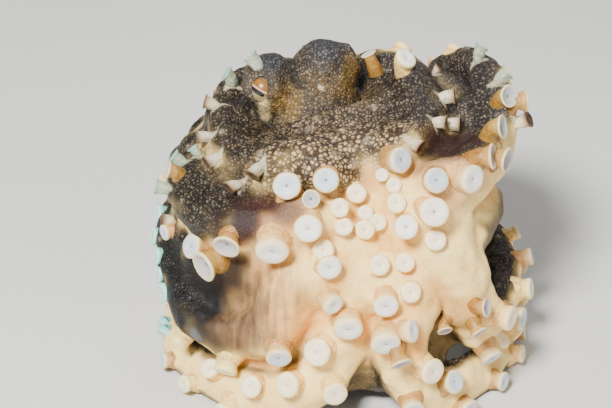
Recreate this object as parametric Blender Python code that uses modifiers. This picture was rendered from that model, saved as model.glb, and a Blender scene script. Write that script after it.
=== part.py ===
"""Coconut octopus, life size, sitting balled up with its arms curled back round its head and body.

The tables below are in millimetres, +Z up, with the animal facing -Y. Objects are made in metres.
Arms are named from the side that they take as seen from the front: l is -X, r is +X, and 1 is the
dorsal pair, next to the head, down to 4, the ventral pair, on the floor.
"""

import math

import bmesh
import bpy
import numpy as np
from mathutils import Euler, Matrix, Vector

MM = 0.001
GAP = 0.3
CUT_SPARE = 1.3
MERGE = 1e-7
TINY = 0.012

# Arms
ARM_RADIUS = 6.5
TIP_RADIUS = 0.8
ROOT_RADIUS = 3.6
ROOT_GROWS = 12.0
TAPER = 0.56
SECTION_WIDE = 1.08
SECTION_ORAL = 0.8
SECTION_BACK = 1.0
ARM_SIDES = 8
RING_STEP = 6.2
OUTER_SHARE = 0.55

# Points that each arm's middle line passes through, from the mouth to the tip
ARM_KEYS = {
    "l1": [(6, -21, 51), (0, -21, 54.5), (-7, -20, 54.5), (-14.5, -17, 54), (-22, -11, 53.5),
           (-26, -3, 55), (-27.5, 7, 57), (-24.5, 17, 59), (-18, 25, 59.5), (-12, 31, 57),
           (-9, 39, 51), (-11, 46, 43), (-10, 53, 37)],
    "r1": [(10.5, -21, 52), (13, -20, 57), (16.5, -16, 60), (19.5, -9, 61.5), (20.5, -1, 63),
           (19.5, 8, 65), (16, 16, 65.5), (11, 23, 63), (6, 31, 57), (5, 39, 51), (7, 47, 44), (6, 54, 36)],
    "l2": [(4, -22, 46.5), (-1, -26, 46), (-8, -29, 46.5), (-16, -29, 46), (-24, -27, 46),
           (-31, -21, 45), (-35, -12, 45), (-37, -1, 44.5), (-36, 10, 43.5), (-31, 20, 42),
           (-25, 30, 39), (-21, 39, 34), (-19, 48, 28), (-14, 57, 24)],
    "r2": [(13, -22, 48.5), (19, -26, 52.5), (25.5, -26, 54.5), (32, -21, 56.5), (36.5, -12, 57.5),
           (38.5, -2, 62), (38, 9, 65), (35, 18, 65), (30, 26, 60.5), (25, 33, 53),
           (22, 41, 44), (21, 49, 35), (16, 57, 28)],
    "l3": [(5, -23, 43), (1.5, -30, 39.5), (-3.5, -34, 32.5), (-11, -36, 26.5), (-21, -33, 19),
           (-31, -27, 17.5), (-36.5, -19, 20.5), (-39, -10, 24), (-40.5, -1, 27.5), (-40.5, 8, 29),
           (-37, 18, 27), (-31, 27, 22), (-26, 36, 17), (-24, 45, 12), (-22, 54, 9)],
    "r3": [(12.5, -23, 44), (19, -28, 44), (25, -30, 41), (29.5, -30, 34.5), (31, -30, 27),
           (32.5, -28, 20), (37, -21, 16), (41, -11, 16), (43, 1, 18), (41, 13, 19), (36, 24, 18),
           (30, 33, 15), (27, 42, 11), (25, 51, 8)],
    "l4": [(6.5, -23, 41), (4.5, -30, 36.5), (2.5, -34, 30.5), (0.5, -36, 22), (-3, -38, 13),
           (-10, -38, 5.5), (-21, -34, 4), (-31, -26, 4), (-38, -14, 3.5), (-40, -1, 3), (-38, 11, 2.5),
           (-33, 22, 2), (-29, 33, 1.5), (-27, 43, 1)],
    "r4": [(10, -23, 40.5), (9.5, -30, 36), (10.5, -34, 30.5), (13, -36, 24), (15, -38, 15),
           (19, -37, 6.5), (28, -32, 4), (36, -23, 4), (41, -11, 3.5), (42, 2, 3), (39, 14, 2.5),
           (34, 25, 2), (30, 35, 1.5), (28, 45, 1)],
}

# The way the suckers face, at even steps from the mouth to the tip
FACE_KEYS = {
    "l1": [(0, -0.87, 0.4), (-0.1, -0.95, -0.1), (-0.75, 0.0, -0.5), (-0.9, 0.4, 0.0),
           (-0.2, 0.9, 0.4), (0.1, 0.7, 0.6), (0.3, 0.7, 0.5)],
    "r1": [(0, -0.87, 0.4), (0.6, -0.5, -0.3), (0.9, 0.2, 0.0), (0.4, 0.4, 0.8),
           (0.4, 0.5, 0.7), (0.5, 0.8, 0.3), (0.3, 0.9, 0.2)],
    "l2": [(0, -0.87, 0.5), (-0.1, -0.9, -0.3), (-0.6, -0.5, -0.6), (-0.9, 0.1, -0.3),
           (-0.8, 0.5, 0.2), (-0.5, 0.6, 0.5), (-0.3, 0.6, 0.7)],
    "r2": [(0, -0.87, 0.5), (0.2, -0.9, -0.2), (0.8, -0.4, -0.2), (0.9, -0.1, 0.3),
           (0.7, 0.5, 0.5), (0.8, 0.5, 0.3), (0.6, 0.8, 0.1)],
    "l3": [(0, -0.87, 0.5), (-0.2, -0.95, 0.0), (-0.6, -0.7, -0.4), (-0.9, -0.1, -0.2),
           (-0.9, 0.3, 0.1), (-0.7, 0.6, 0.3), (-0.4, 0.8, 0.4)],
    "r3": [(0, -0.87, 0.5), (0.3, -0.9, 0.2), (0.7, -0.6, -0.3), (0.9, -0.2, -0.1),
           (0.9, 0.3, 0.1), (0.7, 0.6, 0.3), (0.5, 0.8, 0.4)],
    "l4": [(0, -0.87, 0.5), (0.0, -1.0, 0.1), (-0.3, -0.9, 0.2), (-0.7, -0.5, 0.5),
           (-0.9, 0.0, 0.5), (-0.8, 0.3, 0.5), (-0.6, 0.5, 0.6)],
    "r4": [(0, -0.87, 0.5), (0.1, -1.0, 0.1), (0.4, -0.9, 0.2), (0.8, -0.4, 0.5),
           (0.9, 0.0, 0.5), (0.8, 0.3, 0.5), (0.6, 0.5, 0.6)],
}

# Settling: how the arms are pushed clear of each other and of the body
SETTLE_ROUNDS = 60
SETTLE_POINTS = 120
SETTLE_SMOOTH = 9
SETTLE_SPACING = 1.1
SETTLE_PACE = 0.8
SETTLE_EASE = 0.5
SETTLE_FREE = (0.1, 0.1)
BODY_BALLS = 14
RIVAL_SHARE = 0.5
FLOOR_SINK = 0.86
CURVE_STEPS = 16

# Webs: neighbours round the crown, how far along each arm it reaches, and how its middle bulges
WEBS = [
    ("l1", "r1", 34, 32, (-1.0, 0.0, 5.0)),
    ("l1", "l2", 52, 60, (0.0, 0.0, 0.0)),
    ("l2", "l3", 62, 84, (-2.0, 0.0, 0.0)),
    ("l3", "l4", 74, 68, (0.0, 1.0, 0.0)),
    ("l4", "r4", 52, 52, (0.0, 1.0, 0.0)),
    ("r4", "r3", 52, 50, (-1.0, 2.0, 0.0)),
    ("r3", "r2", 44, 46, (0.0, 2.0, 0.0)),
    ("r2", "r1", 50, 38, (0.0, 0.0, 0.0)),
]
WEB_THICK = 2.0
WEB_ROOT = 6.0
WEB_ALONG = 7
WEB_ACROSS = 4
WEB_HOLLOW = 0.15
WEB_BACK = 0.45
WEB_CLEAR = 3.0

# Suckers: widths from the mouth to the tip, the steps between them in widths, and their two rows
SUCKER_ROOT = 3.0
SUCKER_LARGE = 6.6
SUCKER_TIP = 1.8
SUCKER_PEAK = 26.0
SUCKER_STEPS = (0.9, 2.1)
SUCKER_START = 3.5
ONE_ROW = 16.0
SUCKER_ROW = 34
SUCKER_LEAN = 24
SUCKER_VARIES = 0.06
SUCKER_TRIES = (1.0, 0.82, 0.66)
SUCKER_BALL = (0.5, 0.54)
ROOT_CROWDED = 24.0
SAME_NODE_NEAR = 0.8
SEED = 7

# Outlines of a sucker as (radius, height) in widths, from its sunk root, and the height of its middle
CUP_LARGE = ([(0.44, -0.2), (0.3, 0.36), (0.5, 0.76)], 0.62)
CUP_SMALL = ([(0.4, -0.25), (0.5, 0.74)], 0.6)
CUP_SIDES = (6, 5)
LARGE_FROM = 4.8

# Body: centre, half sizes and turn about X in degrees
CROWN = ((8.5, -15.5, 46.5), (14, 9.5, 14), -30)
NECK = ((2, -5, 52), (12, 11, 10.5), 0)
HEAD = ((-7.3, 8, 57.5), (13.5, 12, 12), 0)
BROW_NEAR = ((-15.8, 5, 66.2), (6.4, 7.5, 7.4), 0)
BROW_FAR = ((-2.8, 9, 67.4), (7.8, 8.5, 8.6), 0)
MANTLE_LINE = [(-5, 14, 55), (-4, 21, 45), (-1, 29, 34), (1, 36, 24), (1, 43, 18.5)]
MANTLE_RADII = [11.5, 14.5, 18.5, 21, 20]
MANTLE_BALLS = 10
BALL_SEGMENTS = 20

# The body's skin: the voxels that melt its balls together, then how it is smoothed and how many faces stay
SKIN_VOXEL = 1.3
SKIN_SMOOTH = 0.5
SKIN_ROUNDS = 12
SKIN_FACES = 0.042

# Where the body is parted, and where it rests: a point on the cut and its normal
FLOOR = ((0, 0, 0), (0, 0, 1))
CROWN_CUT = ((4, -9, 50), (-0.35, 0.85, 0.4))
MANTLE_CUT = ((-4, 18, 50), (0.05, 0.72, -0.7))
WEB_CUTS = {"web_left": ((-21, 0, 0), (-1, 0, 0)), "web_right": ((26, 0, 0), (1, 0, 0))}

# Eyes: the brow that each sits in, the way it looks and how far out of the brow's middle it is set
EYES = {
    "eye_left": (BROW_NEAR, (-0.27, -0.92, 0.28), 4.3),
    "eye_right": (BROW_FAR, (0.8, 0.28, 0.35), 5.1),
}
EYE_RADIUS = 3.8
EYE_SEGMENTS = 12
LID_RADIUS = 3.1
LID_THICK = 0.85
LID_FORWARD = 2.2
LID_OVAL = (1.0, 0.92, 1.0)
LID_SEGMENTS = (12, 4)

SIPHON_LINE = [(2, 10, 44), (11, 9, 40), (19, 6, 38), (26, 2, 38)]
SIPHON_RADII = [6.5, 5.2, 4.0, 3.6]
SIPHON_BORE = 2.2
SIPHON_DEEP = 9.0
SIPHON_RINGS = 9

# How each node looks in the photograph: its colour in linear light and its roughness; none is a metal
LOOKS = {
    "crown": ((0.80, 0.62, 0.37), 0.45),
    "web_left": ((0.10, 0.08, 0.06), 0.45),
    "web_right": ((0.36, 0.25, 0.16), 0.45),
    "head": ((0.17, 0.13, 0.08), 0.48),
    "mantle": ((0.11, 0.08, 0.055), 0.5),
    "siphon": ((0.34, 0.26, 0.18), 0.42),
    "eye_left": ((0.45, 0.17, 0.04), 0.12),
    "eye_right": ((0.42, 0.15, 0.035), 0.12),
}
ARM_LOOKS = {
    "l1": ((0.11, 0.085, 0.06), 0.48),
    "r1": ((0.09, 0.07, 0.06), 0.48),
    "l2": ((0.10, 0.08, 0.05), 0.48),
    "r2": ((0.12, 0.09, 0.07), 0.48),
    "l3": ((0.45, 0.36, 0.26), 0.45),
    "r3": ((0.55, 0.38, 0.22), 0.45),
    "l4": ((0.76, 0.60, 0.38), 0.44),
    "r4": ((0.70, 0.53, 0.31), 0.44),
}
SHARP_FROM = 60


def resample(curve, count):
    """The same curve as count evenly spaced points."""
    run = np.append(0, np.cumsum(np.linalg.norm(np.diff(curve, axis=0), axis=1)))
    even = np.linspace(0, run[-1], count)
    return np.stack([np.interp(even, run, curve[:, i]) for i in range(3)], axis=1)


def smooth_line(keys, count):
    """Evenly spaced points on a smooth curve through the keys."""
    keys = np.array(keys, float)
    padded = np.vstack([2 * keys[0] - keys[1], keys, 2 * keys[-1] - keys[-2]])
    curve = []
    for before, start, end, after in zip(padded, padded[1:], padded[2:], padded[3:]):
        for u in np.linspace(0, 1, CURVE_STEPS, endpoint=False):
            curve.append(0.5 * (2 * start + (end - before) * u
                                + (2 * before - 5 * start + 4 * end - after) * u * u
                                + (3 * start - before - 3 * end + after) * u ** 3))
    return resample(np.array(curve + [keys[-1]]), count)


def unit(v):
    """The vector, or each row of vectors, at length one."""
    v = np.asarray(v, float)
    return v / np.maximum(np.linalg.norm(v, axis=-1, keepdims=True), 1e-9)


def arm_radius(share, length):
    """An arm's radius at a share of its length."""
    share = np.asarray(share, float)
    taper = TIP_RADIUS + (ARM_RADIUS - TIP_RADIUS) * np.clip(1 - share, 0, 1) ** TAPER
    grown = np.clip(share * length / ROOT_GROWS, 0, 1)
    root = ROOT_RADIUS / ARM_RADIUS
    return taper * (root + (1 - root) * grown * grown * (3 - 2 * grown))


def spread_sizes(sizes, count):
    """The sizes as count values, evenly spaced along them."""
    return np.interp(np.linspace(0, 1, count), np.linspace(0, 1, len(sizes)), sizes)


def push_off_ellipsoid(points, radii, spec):
    """How far the points have to move to clear an ellipsoid."""
    centre, size, turn = spec
    axes = np.array(Euler((math.radians(turn), 0, 0)).to_matrix())
    local = (points - centre) @ axes
    reach = np.array(size) + radii[:, None] + GAP
    depth = np.linalg.norm(local / reach, axis=1)
    out = unit(local / reach ** 2) @ axes.T
    need = np.maximum(1 - depth, 0) * np.min(reach, axis=1)
    return out * need[:, None]


def push_off_balls(points, radii, balls, ball_radii):
    """How far the points have to move to clear a row of balls."""
    away = points[:, None] - balls[None]
    gap = np.linalg.norm(away, axis=2)
    need = np.maximum(radii[:, None] + ball_radii[None] + GAP - gap, 0)
    deepest = np.argmax(need, axis=1)
    row = np.arange(len(points))
    return unit(away[row, deepest]) * need[row, deepest][:, None]


def push_off_body(points, radii):
    """How far the points have to move to clear the head, the mantle and the siphon."""
    push = sum(push_off_ellipsoid(points, radii, spec) for spec in (NECK, HEAD, BROW_NEAR, BROW_FAR))
    for line, sizes in ((MANTLE_LINE, MANTLE_RADII), (SIPHON_LINE, SIPHON_RADII)):
        push += push_off_balls(points, radii, smooth_line(line, BODY_BALLS), spread_sizes(sizes, BODY_BALLS))
    return push


def settle(lines):
    """Push the arms clear of each other, of the body and of the floor, a little at a time."""
    share = np.linspace(0, 1, SETTLE_POINTS)
    fixed, easing = SETTLE_FREE
    free = np.clip((share - fixed) / easing, 0, 1)[:, None]
    window = np.hanning(SETTLE_SMOOTH + 2)[1:-1]
    window /= window.sum()
    lengths = {name: np.linalg.norm(np.diff(line, axis=0), axis=1).sum() for name, line in lines.items()}
    radii = {name: arm_radius(share, lengths[name]) * SETTLE_SPACING for name in lines}
    for _ in range(SETTLE_ROUNDS):
        moved = {}
        for name, line in lines.items():
            push = push_off_body(line, radii[name])
            for other, rival in lines.items():
                if other != name:
                    push += RIVAL_SHARE * push_off_balls(line, radii[name], rival, radii[other])
            low = np.maximum(radii[name] * FLOOR_SINK / SETTLE_SPACING - line[:, 2], 0)
            push[:, 2] += low
            push *= free
            padded = np.pad(push, ((SETTLE_SMOOTH // 2,) * 2, (0, 0)), mode="edge")
            eased = np.stack([np.convolve(padded[:, i], window, "valid") for i in range(3)], axis=1)
            moved[name] = line + eased * SETTLE_PACE
        for name, line in moved.items():
            ease = line.copy()
            ease[1:-1] = 0.5 * line[1:-1] + 0.25 * (line[:-2] + line[2:])
            lines[name] = resample(line + (ease - line) * free * SETTLE_EASE, SETTLE_POINTS)
    return lines


class Arm:
    """One arm's settled middle line, with its thickness and the way that its suckers face."""

    def __init__(self, name, line):
        self.name = name
        self.line = line
        self.length = np.linalg.norm(np.diff(line, axis=0), axis=1).sum()
        self.shares = np.linspace(0, 1, len(line))
        self.tangents = unit(np.gradient(line, axis=0))
        faces = turned_directions(FACE_KEYS[name], len(line))
        faces -= self.tangents * np.sum(faces * self.tangents, axis=1, keepdims=True)
        self.faces = unit(faces)
        webbed = [web[2 + web.index(name)] for web in WEBS if name in web]
        self.free = (max(webbed) + WEB_CLEAR) / self.length
        self.middle = self.free + (1 - self.free) * OUTER_SHARE

    def at(self, share):
        """The place, tangent, sucker direction, side direction and radius at a share of the length."""
        place, tangent, face = (np.array([np.interp(share, self.shares, rows[:, i]) for i in range(3)])
                                for rows in (self.line, self.tangents, self.faces))
        tangent = unit(tangent)
        face = unit(face - tangent * np.dot(face, tangent))
        return place, tangent, face, np.cross(tangent, face), float(arm_radius(share, self.length))

    def node_at(self, share):
        """The node that holds a share of the arm, with the shares where it starts and ends."""
        if share < self.free:
            return "crown", 0.0, self.free
        if share < self.middle:
            return f"arm_{self.name}_inner", self.free, self.middle
        return f"arm_{self.name}_outer", self.middle, 1.0

    def sucker_seat(self, share, row):
        """Where a sucker of one row stands on the arm, and the way that it looks."""
        place, _, face, side, radius = self.at(share)
        apart = 0.25 + 0.75 * min(share * self.length / ONE_ROW, 1)
        turn, lean = math.radians(SUCKER_ROW * apart), math.radians(SUCKER_LEAN * apart)
        root = place + radius * (face * math.cos(turn) * SECTION_ORAL + side * row * math.sin(turn) * SECTION_WIDE)
        return root, face * math.cos(lean) + side * row * math.sin(lean)

    def ring(self, share, slip=0.0):
        """One section of the arm, moved along the arm by slip, in millimetres."""
        place, tangent, face, side, radius = self.at(share)
        corners = []
        for turn in np.arange(ARM_SIDES) * 2 * math.pi / ARM_SIDES:
            deep = SECTION_ORAL if math.sin(turn) > 0 else SECTION_BACK
            corners.append(place + tangent * slip + side * math.cos(turn) * radius * SECTION_WIDE
                           + face * math.sin(turn) * radius * deep)
        return corners

    def rings(self, start, end):
        """The sections of one length of the arm, with half a gap left at each cut."""
        count = max(3, round((end - start) * self.length / RING_STEP))
        shares = np.linspace(start, end, count + 1)
        rings = [self.ring(share) for share in shares]
        if start > 0:
            rings[0] = self.ring(start, GAP / 2)
        if end < 1:
            rings[-1] = self.ring(end, -GAP / 2)
        return rings


def turned_directions(keys, count):
    """Directions read at even steps between the keys, smoothly."""
    keys = unit(np.array(keys, float))
    where = np.linspace(0, len(keys) - 1, count)
    low = np.minimum(where.astype(int), len(keys) - 2)
    u = (where - low)[:, None]
    u = u * u * (3 - 2 * u)
    return keys[low] * (1 - u) + keys[low + 1] * u


def sucker_width(along, length):
    """A sucker's width at a distance along an arm."""
    if along < SUCKER_PEAK:
        return SUCKER_ROOT + (SUCKER_LARGE - SUCKER_ROOT) * math.sin(along / SUCKER_PEAK * math.pi / 2)
    left = (length - along) / (length - SUCKER_PEAK)
    return SUCKER_TIP + (SUCKER_LARGE - SUCKER_TIP) * left


class Crowd:
    """What a new sucker has to keep clear of: other arms, the body, the floor and the other suckers."""

    def __init__(self, arms):
        self.arms = arms
        self.cups = []

    def near_arm(self, arm, along, centre, radius):
        """Whether a ball round the sucker reaches an arm that it doesn't stand on."""
        for other in self.arms.values():
            distances = other.shares * other.length
            gaps = (np.linalg.norm(other.line - centre, axis=1) - radius - GAP
                    - arm_radius(other.shares, other.length) * SECTION_WIDE)
            if other is arm:
                gaps = gaps[np.abs(distances - along) > 3 * radius + ARM_RADIUS]
            elif along < ROOT_CROWDED:
                gaps = gaps[distances > ROOT_CROWDED]
            if len(gaps) and gaps.min() < 0:
                return True
        return False

    def admits(self, arm, node, along, root, look, width):
        """Whether a sucker of this width fits here, which then takes the place."""
        height, reach = SUCKER_BALL
        centre = root + look * width * height
        radius = width * reach
        if centre[2] < radius or self.near_arm(arm, along, centre, radius):
            return False
        if np.abs(push_off_body(centre[None], np.array([radius]))).max() > 0:
            return False
        for other, size, owner in self.cups:
            near = SAME_NODE_NEAR if owner == node else 1.0
            if np.linalg.norm(other - centre) < (size + radius) * near:
                return False
        self.cups.append((centre, radius, node))
        return True


def plan_suckers(arms):
    """Two rows of suckers along every arm, from the mouth to the tip, as lists for each node."""
    rng = np.random.default_rng(SEED)
    crowd = Crowd(arms)
    plan = {}
    for arm in arms.values():
        along, row = SUCKER_START, 1
        while along < arm.length - SUCKER_TIP:
            width = sucker_width(along, arm.length) * (1 + SUCKER_VARIES * rng.uniform(-1, 1))
            share = along / arm.length
            close, far = SUCKER_STEPS
            along += sucker_width(along, arm.length) * (close + (far - close) * share)
            row = -row
            node, start, end = arm.node_at(share)
            for size in SUCKER_TRIES:
                cup = width * size
                room = (cup * CUP_LARGE[0][0][0] + GAP) / arm.length
                here = min(max(share, start + room), end - room) if start > 0 else min(share, end - room)
                root, look = arm.sucker_seat(here, row)
                if crowd.admits(arm, node, here * arm.length, root, look, cup):
                    plan.setdefault(node, []).append((root, look, cup))
                    break
    return plan


def add_suckers(obj, suckers, work):
    """Join cups on stalks to the object that they grow from."""
    for i, (root, look, width) in enumerate(suckers):
        outline, middle = CUP_LARGE if width > LARGE_FROM else CUP_SMALL
        sides = CUP_SIDES[0] if width > LARGE_FROM else CUP_SIDES[1]
        turned = facing(look, root)
        rings = []
        for radius, height in outline:
            turns = np.arange(sides) * 2 * math.pi / sides
            rings.append([turned @ Vector((radius * width * math.cos(turn), radius * width * math.sin(turn),
                                           height * width)) for turn in turns])
        loft(f"sucker_{i}", rings, work, tip=turned @ Vector((0, 0, middle * width)))
    combine(obj, work, "UNION")


def mesh_object(name, bm, collection):
    """An object in the collection, from a bmesh in millimetres."""
    bmesh.ops.scale(bm, vec=(MM, MM, MM), verts=bm.verts)
    bmesh.ops.recalc_face_normals(bm, faces=bm.faces)
    mesh = bpy.data.meshes.new(name)
    bm.to_mesh(mesh)
    bm.free()
    obj = bpy.data.objects.new(name, mesh)
    collection.objects.link(obj)
    return obj


def loft(name, rings, collection, tip=None):
    """A closed body through rings of corners, capped flat, or with its end drawn to a tip."""
    bm = bmesh.new()
    rows = [[bm.verts.new(Vector(corner)) for corner in ring] for ring in rings]
    sides = len(rows[0])
    for row, above in zip(rows, rows[1:]):
        for i in range(sides):
            j = (i + 1) % sides
            bm.faces.new((row[i], row[j], above[j]))
            bm.faces.new((row[i], above[j], above[i]))
    bm.faces.new(reversed(rows[0]))
    if tip is None:
        bm.faces.new(rows[-1])
    else:
        point = bm.verts.new(Vector(tip))
        for i in range(sides):
            bm.faces.new((rows[-1][i], rows[-1][(i + 1) % sides], point))
    return mesh_object(name, bm, collection)


def ball(name, spec, collection, segments=BALL_SEGMENTS):
    """An ellipsoid from its centre, half sizes and turn about X."""
    centre, size, turn = spec
    bm = bmesh.new()
    place = (Matrix.Translation(centre) @ Euler((math.radians(turn), 0, 0)).to_matrix().to_4x4()
             @ Matrix.Diagonal((*size, 1)))
    bmesh.ops.create_uvsphere(bm, u_segments=segments, v_segments=segments * 3 // 4, radius=1, matrix=place)
    return mesh_object(name, bm, collection)


def facing(direction, place=(0, 0, 0)):
    """The matrix that turns +Z to a direction and moves it to a place."""
    return Matrix.Translation(place) @ Vector(direction).to_track_quat("Z", "Y").to_matrix().to_4x4()


def web_sheet(first, second, reach_first, reach_second, bulge, collection):
    """A thin web between two arms, its edges sunk in them and its free edge drawn in between them."""
    bm = bmesh.new()
    rows = []
    for across in np.linspace(0, 1, WEB_ACROSS):
        middle = math.sin(math.pi * across)
        row = []
        for along in np.linspace(0, 1, WEB_ALONG):
            drawn = along * (1 - WEB_HOLLOW * middle)
            ends = []
            for arm, reach in ((first, reach_first), (second, reach_second)):
                place, _, face, _, radius = arm.at((WEB_ROOT + (reach - WEB_ROOT) * drawn) / arm.length)
                ends.append(place - face * radius * WEB_BACK)
            point = ends[0] * (1 - across) + ends[1] * across
            row.append(bm.verts.new(Vector(point + np.array(bulge) * middle * along)))
        rows.append(row)
    for row, beside in zip(rows, rows[1:]):
        for i in range(WEB_ALONG - 1):
            bm.faces.new((row[i], row[i + 1], beside[i + 1]))
            bm.faces.new((row[i], beside[i + 1], beside[i]))
    sheet = mesh_object(f"web_{first.name}_{second.name}", bm, collection)
    solid = sheet.modifiers.new("Thickness", "SOLIDIFY")
    solid.thickness = WEB_THICK * MM
    solid.offset = 0
    bake(sheet)
    return sheet


def bake(obj):
    """Apply the object's modifiers."""
    graph = bpy.context.evaluated_depsgraph_get()
    mesh = bpy.data.meshes.new_from_object(obj.evaluated_get(graph))
    obj.modifiers.clear()
    old = obj.data
    obj.data = mesh
    bpy.data.meshes.remove(old)


def keep_largest(obj):
    """Leave only the largest closed surface of the mesh, with its doubled corners merged."""
    bm = bmesh.new()
    bm.from_mesh(obj.data)
    bmesh.ops.remove_doubles(bm, verts=bm.verts, dist=MERGE)
    left = set(bm.faces)
    largest = []
    size = 0.0
    while left:
        stack = [left.pop()]
        piece = []
        while stack:
            face = stack.pop()
            piece.append(face)
            for edge in face.edges:
                for beside in edge.link_faces if len(edge.link_faces) == 2 else ():
                    if beside in left:
                        left.discard(beside)
                        stack.append(beside)
        spread = sum(face.calc_area() for face in piece)
        if spread > size:
            largest, size = piece, spread
    keep = set(largest)
    bmesh.ops.delete(bm, geom=[face for face in bm.faces if face not in keep], context="FACES")
    bmesh.ops.dissolve_degenerate(bm, edges=bm.edges, dist=TINY * MM)
    bmesh.ops.triangulate(bm, faces=bm.faces)
    bm.to_mesh(obj.data)
    bm.free()


def combine(obj, others, operation, solver="EXACT"):
    """Join a collection's closed meshes to the object, or cut them from it, and remove them."""
    modifier = obj.modifiers.new("Combine", "BOOLEAN")
    modifier.operation = operation
    modifier.operand_type = "COLLECTION"
    modifier.collection = others
    modifier.solver = solver
    bake(obj)
    for other in list(others.objects):
        bpy.data.objects.remove(other)
    keep_largest(obj)


def slice_off(obj, cut, side=1, away=GAP / 2):
    """Cut the mesh at a plane, a little way off it, and keep what lies on one side of it."""
    point, normal = Vector(cut[0]) * MM, Vector(cut[1]).normalized() * side
    bm = bmesh.new()
    bm.from_mesh(obj.data)
    bmesh.ops.bisect_plane(bm, geom=bm.verts[:] + bm.edges[:] + bm.faces[:], dist=MERGE,
                           plane_co=point + normal * away * MM, plane_no=-normal, clear_outer=True)
    bmesh.ops.holes_fill(bm, edges=[edge for edge in bm.edges if edge.is_boundary], sides=0)
    bmesh.ops.triangulate(bm, faces=bm.faces)
    bm.to_mesh(obj.data)
    bm.free()
    keep_largest(obj)


def copy_of(obj, name, collection):
    """A copy of the object with a mesh of its own."""
    twin = bpy.data.objects.new(name, obj.data.copy())
    collection.objects.link(twin)
    return twin


def cut_clear(obj, neighbours, work):
    """Cut the object back so that it keeps the gap to its neighbours."""
    for neighbour in neighbours:
        grown = copy_of(neighbour, "grown", work)
        swell = grown.modifiers.new("Swell", "DISPLACE")
        swell.strength = GAP * MM * CUT_SPARE
        swell.mid_level = 0
        bake(grown)
    combine(obj, work, "DIFFERENCE")


def add_eyes(head, octopus, work):
    """Eyeballs in sockets in the head, each with a ring of lid round it."""
    lids = []
    for name, (brow, look, out) in EYES.items():
        look = Vector(look).normalized()
        place = Vector(brow[0]) + look * out
        bpy.ops.mesh.primitive_torus_add(major_segments=LID_SEGMENTS[0], minor_segments=LID_SEGMENTS[1],
                                         major_radius=LID_RADIUS * MM, minor_radius=LID_THICK * MM)
        lid = bpy.context.object
        lid.matrix_world = (Matrix.Translation((place + look * LID_FORWARD) * MM)
                            @ look.to_track_quat("Z", "Y").to_matrix().to_4x4() @ Matrix.Diagonal((*LID_OVAL, 1)))
        lids.append(lid)
        ball(name, (tuple(place), (EYE_RADIUS,) * 3, 0), octopus, EYE_SEGMENTS)
    for lid in lids:
        for collection in lid.users_collection:
            collection.objects.unlink(lid)
        work.objects.link(lid)
    combine(head, work, "UNION")
    cut_clear(head, [octopus.objects[name] for name in EYES], work)


def add_siphon(head, mantle, octopus, work):
    """The funnel, an open tube from under the neck, cut to meet the head and the mantle."""
    line = smooth_line(SIPHON_LINE, SIPHON_RINGS)
    radii = spread_sizes(SIPHON_RADII, SIPHON_RINGS)
    tangents = unit(np.gradient(line, axis=0))
    side = unit(np.cross(tangents, (0, 0, 1)))
    up = np.cross(side, tangents)

    def rings(sizes, places):
        """Rings of corners round the funnel's middle line."""
        turns = np.arange(ARM_SIDES) * 2 * math.pi / ARM_SIDES
        return [[place + (side[i] * math.cos(turn) + up[i] * math.sin(turn)) * sizes[i] for turn in turns]
                for i, place in places]

    siphon = loft("siphon", rings(radii, enumerate(line)), octopus)
    mouth = line[-1] + tangents[-1] * GAP
    inner = line[-1] - tangents[-1] * SIPHON_DEEP
    bore = {len(line) - 2: inner, len(line) - 1: mouth}
    loft("bore", rings(np.full(len(line), SIPHON_BORE), bore.items()), work)
    combine(siphon, work, "DIFFERENCE")
    cut_clear(siphon, [head, mantle], work)


def make_body(work):
    """The crown's disc, neck, head and mantle as one soft form."""
    pieces = [ball(f"form_{i}", spec, work)
              for i, spec in enumerate((CROWN, NECK, HEAD, BROW_NEAR, BROW_FAR))]
    sizes = spread_sizes(MANTLE_RADII, MANTLE_BALLS)
    for i, (place, size) in enumerate(zip(smooth_line(MANTLE_LINE, MANTLE_BALLS), sizes)):
        pieces.append(ball(f"mantle_{i}", (tuple(place), (size, size, size), 0), work))
    bm = bmesh.new()
    for piece in pieces:
        bm.from_mesh(piece.data)
        bpy.data.objects.remove(piece)
    mesh = bpy.data.meshes.new("body")
    bm.to_mesh(mesh)
    bm.free()
    body = bpy.data.objects.new("body", mesh)
    work.objects.link(body)
    skin = body.modifiers.new("Skin", "REMESH")
    skin.mode = "VOXEL"
    skin.voxel_size = SKIN_VOXEL * MM
    soft = body.modifiers.new("Soft", "SMOOTH")
    soft.factor = SKIN_SMOOTH
    soft.iterations = SKIN_ROUNDS
    thin = body.modifiers.new("Thin", "DECIMATE")
    thin.ratio = SKIN_FACES
    bake(body)
    keep_largest(body)
    return body


def set_down(octopus):
    """Cut flats where the animal rests, and put the middle of its box, at the floor, on the origin."""
    for obj in octopus.objects:
        if min(corner.co.z for corner in obj.data.vertices) < 0:
            slice_off(obj, FLOOR, away=0)
    corners = np.array([corner.co for obj in octopus.objects for corner in obj.data.vertices])
    middle = (corners.min(axis=0) + corners.max(axis=0)) / 2
    for obj in octopus.objects:
        obj.data.transform(Matrix.Translation((-middle[0], -middle[1], 0)))


def dress(obj):
    """Give a node its own plain material, and smooth shading."""
    colour, roughness = LOOKS[obj.name] if obj.name in LOOKS else ARM_LOOKS[obj.name.split("_")[1]]
    material = bpy.data.materials.new(obj.name)
    material.use_nodes = True
    shader = material.node_tree.nodes["Principled BSDF"]
    shader.inputs["Base Color"].default_value = (*colour, 1)
    shader.inputs["Roughness"].default_value = roughness
    shader.inputs["Metallic"].default_value = 0
    obj.data.materials.clear()
    obj.data.materials.append(material)
    obj.data.shade_smooth()
    obj.data.set_sharp_from_angle(angle=math.radians(SHARP_FROM))


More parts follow.
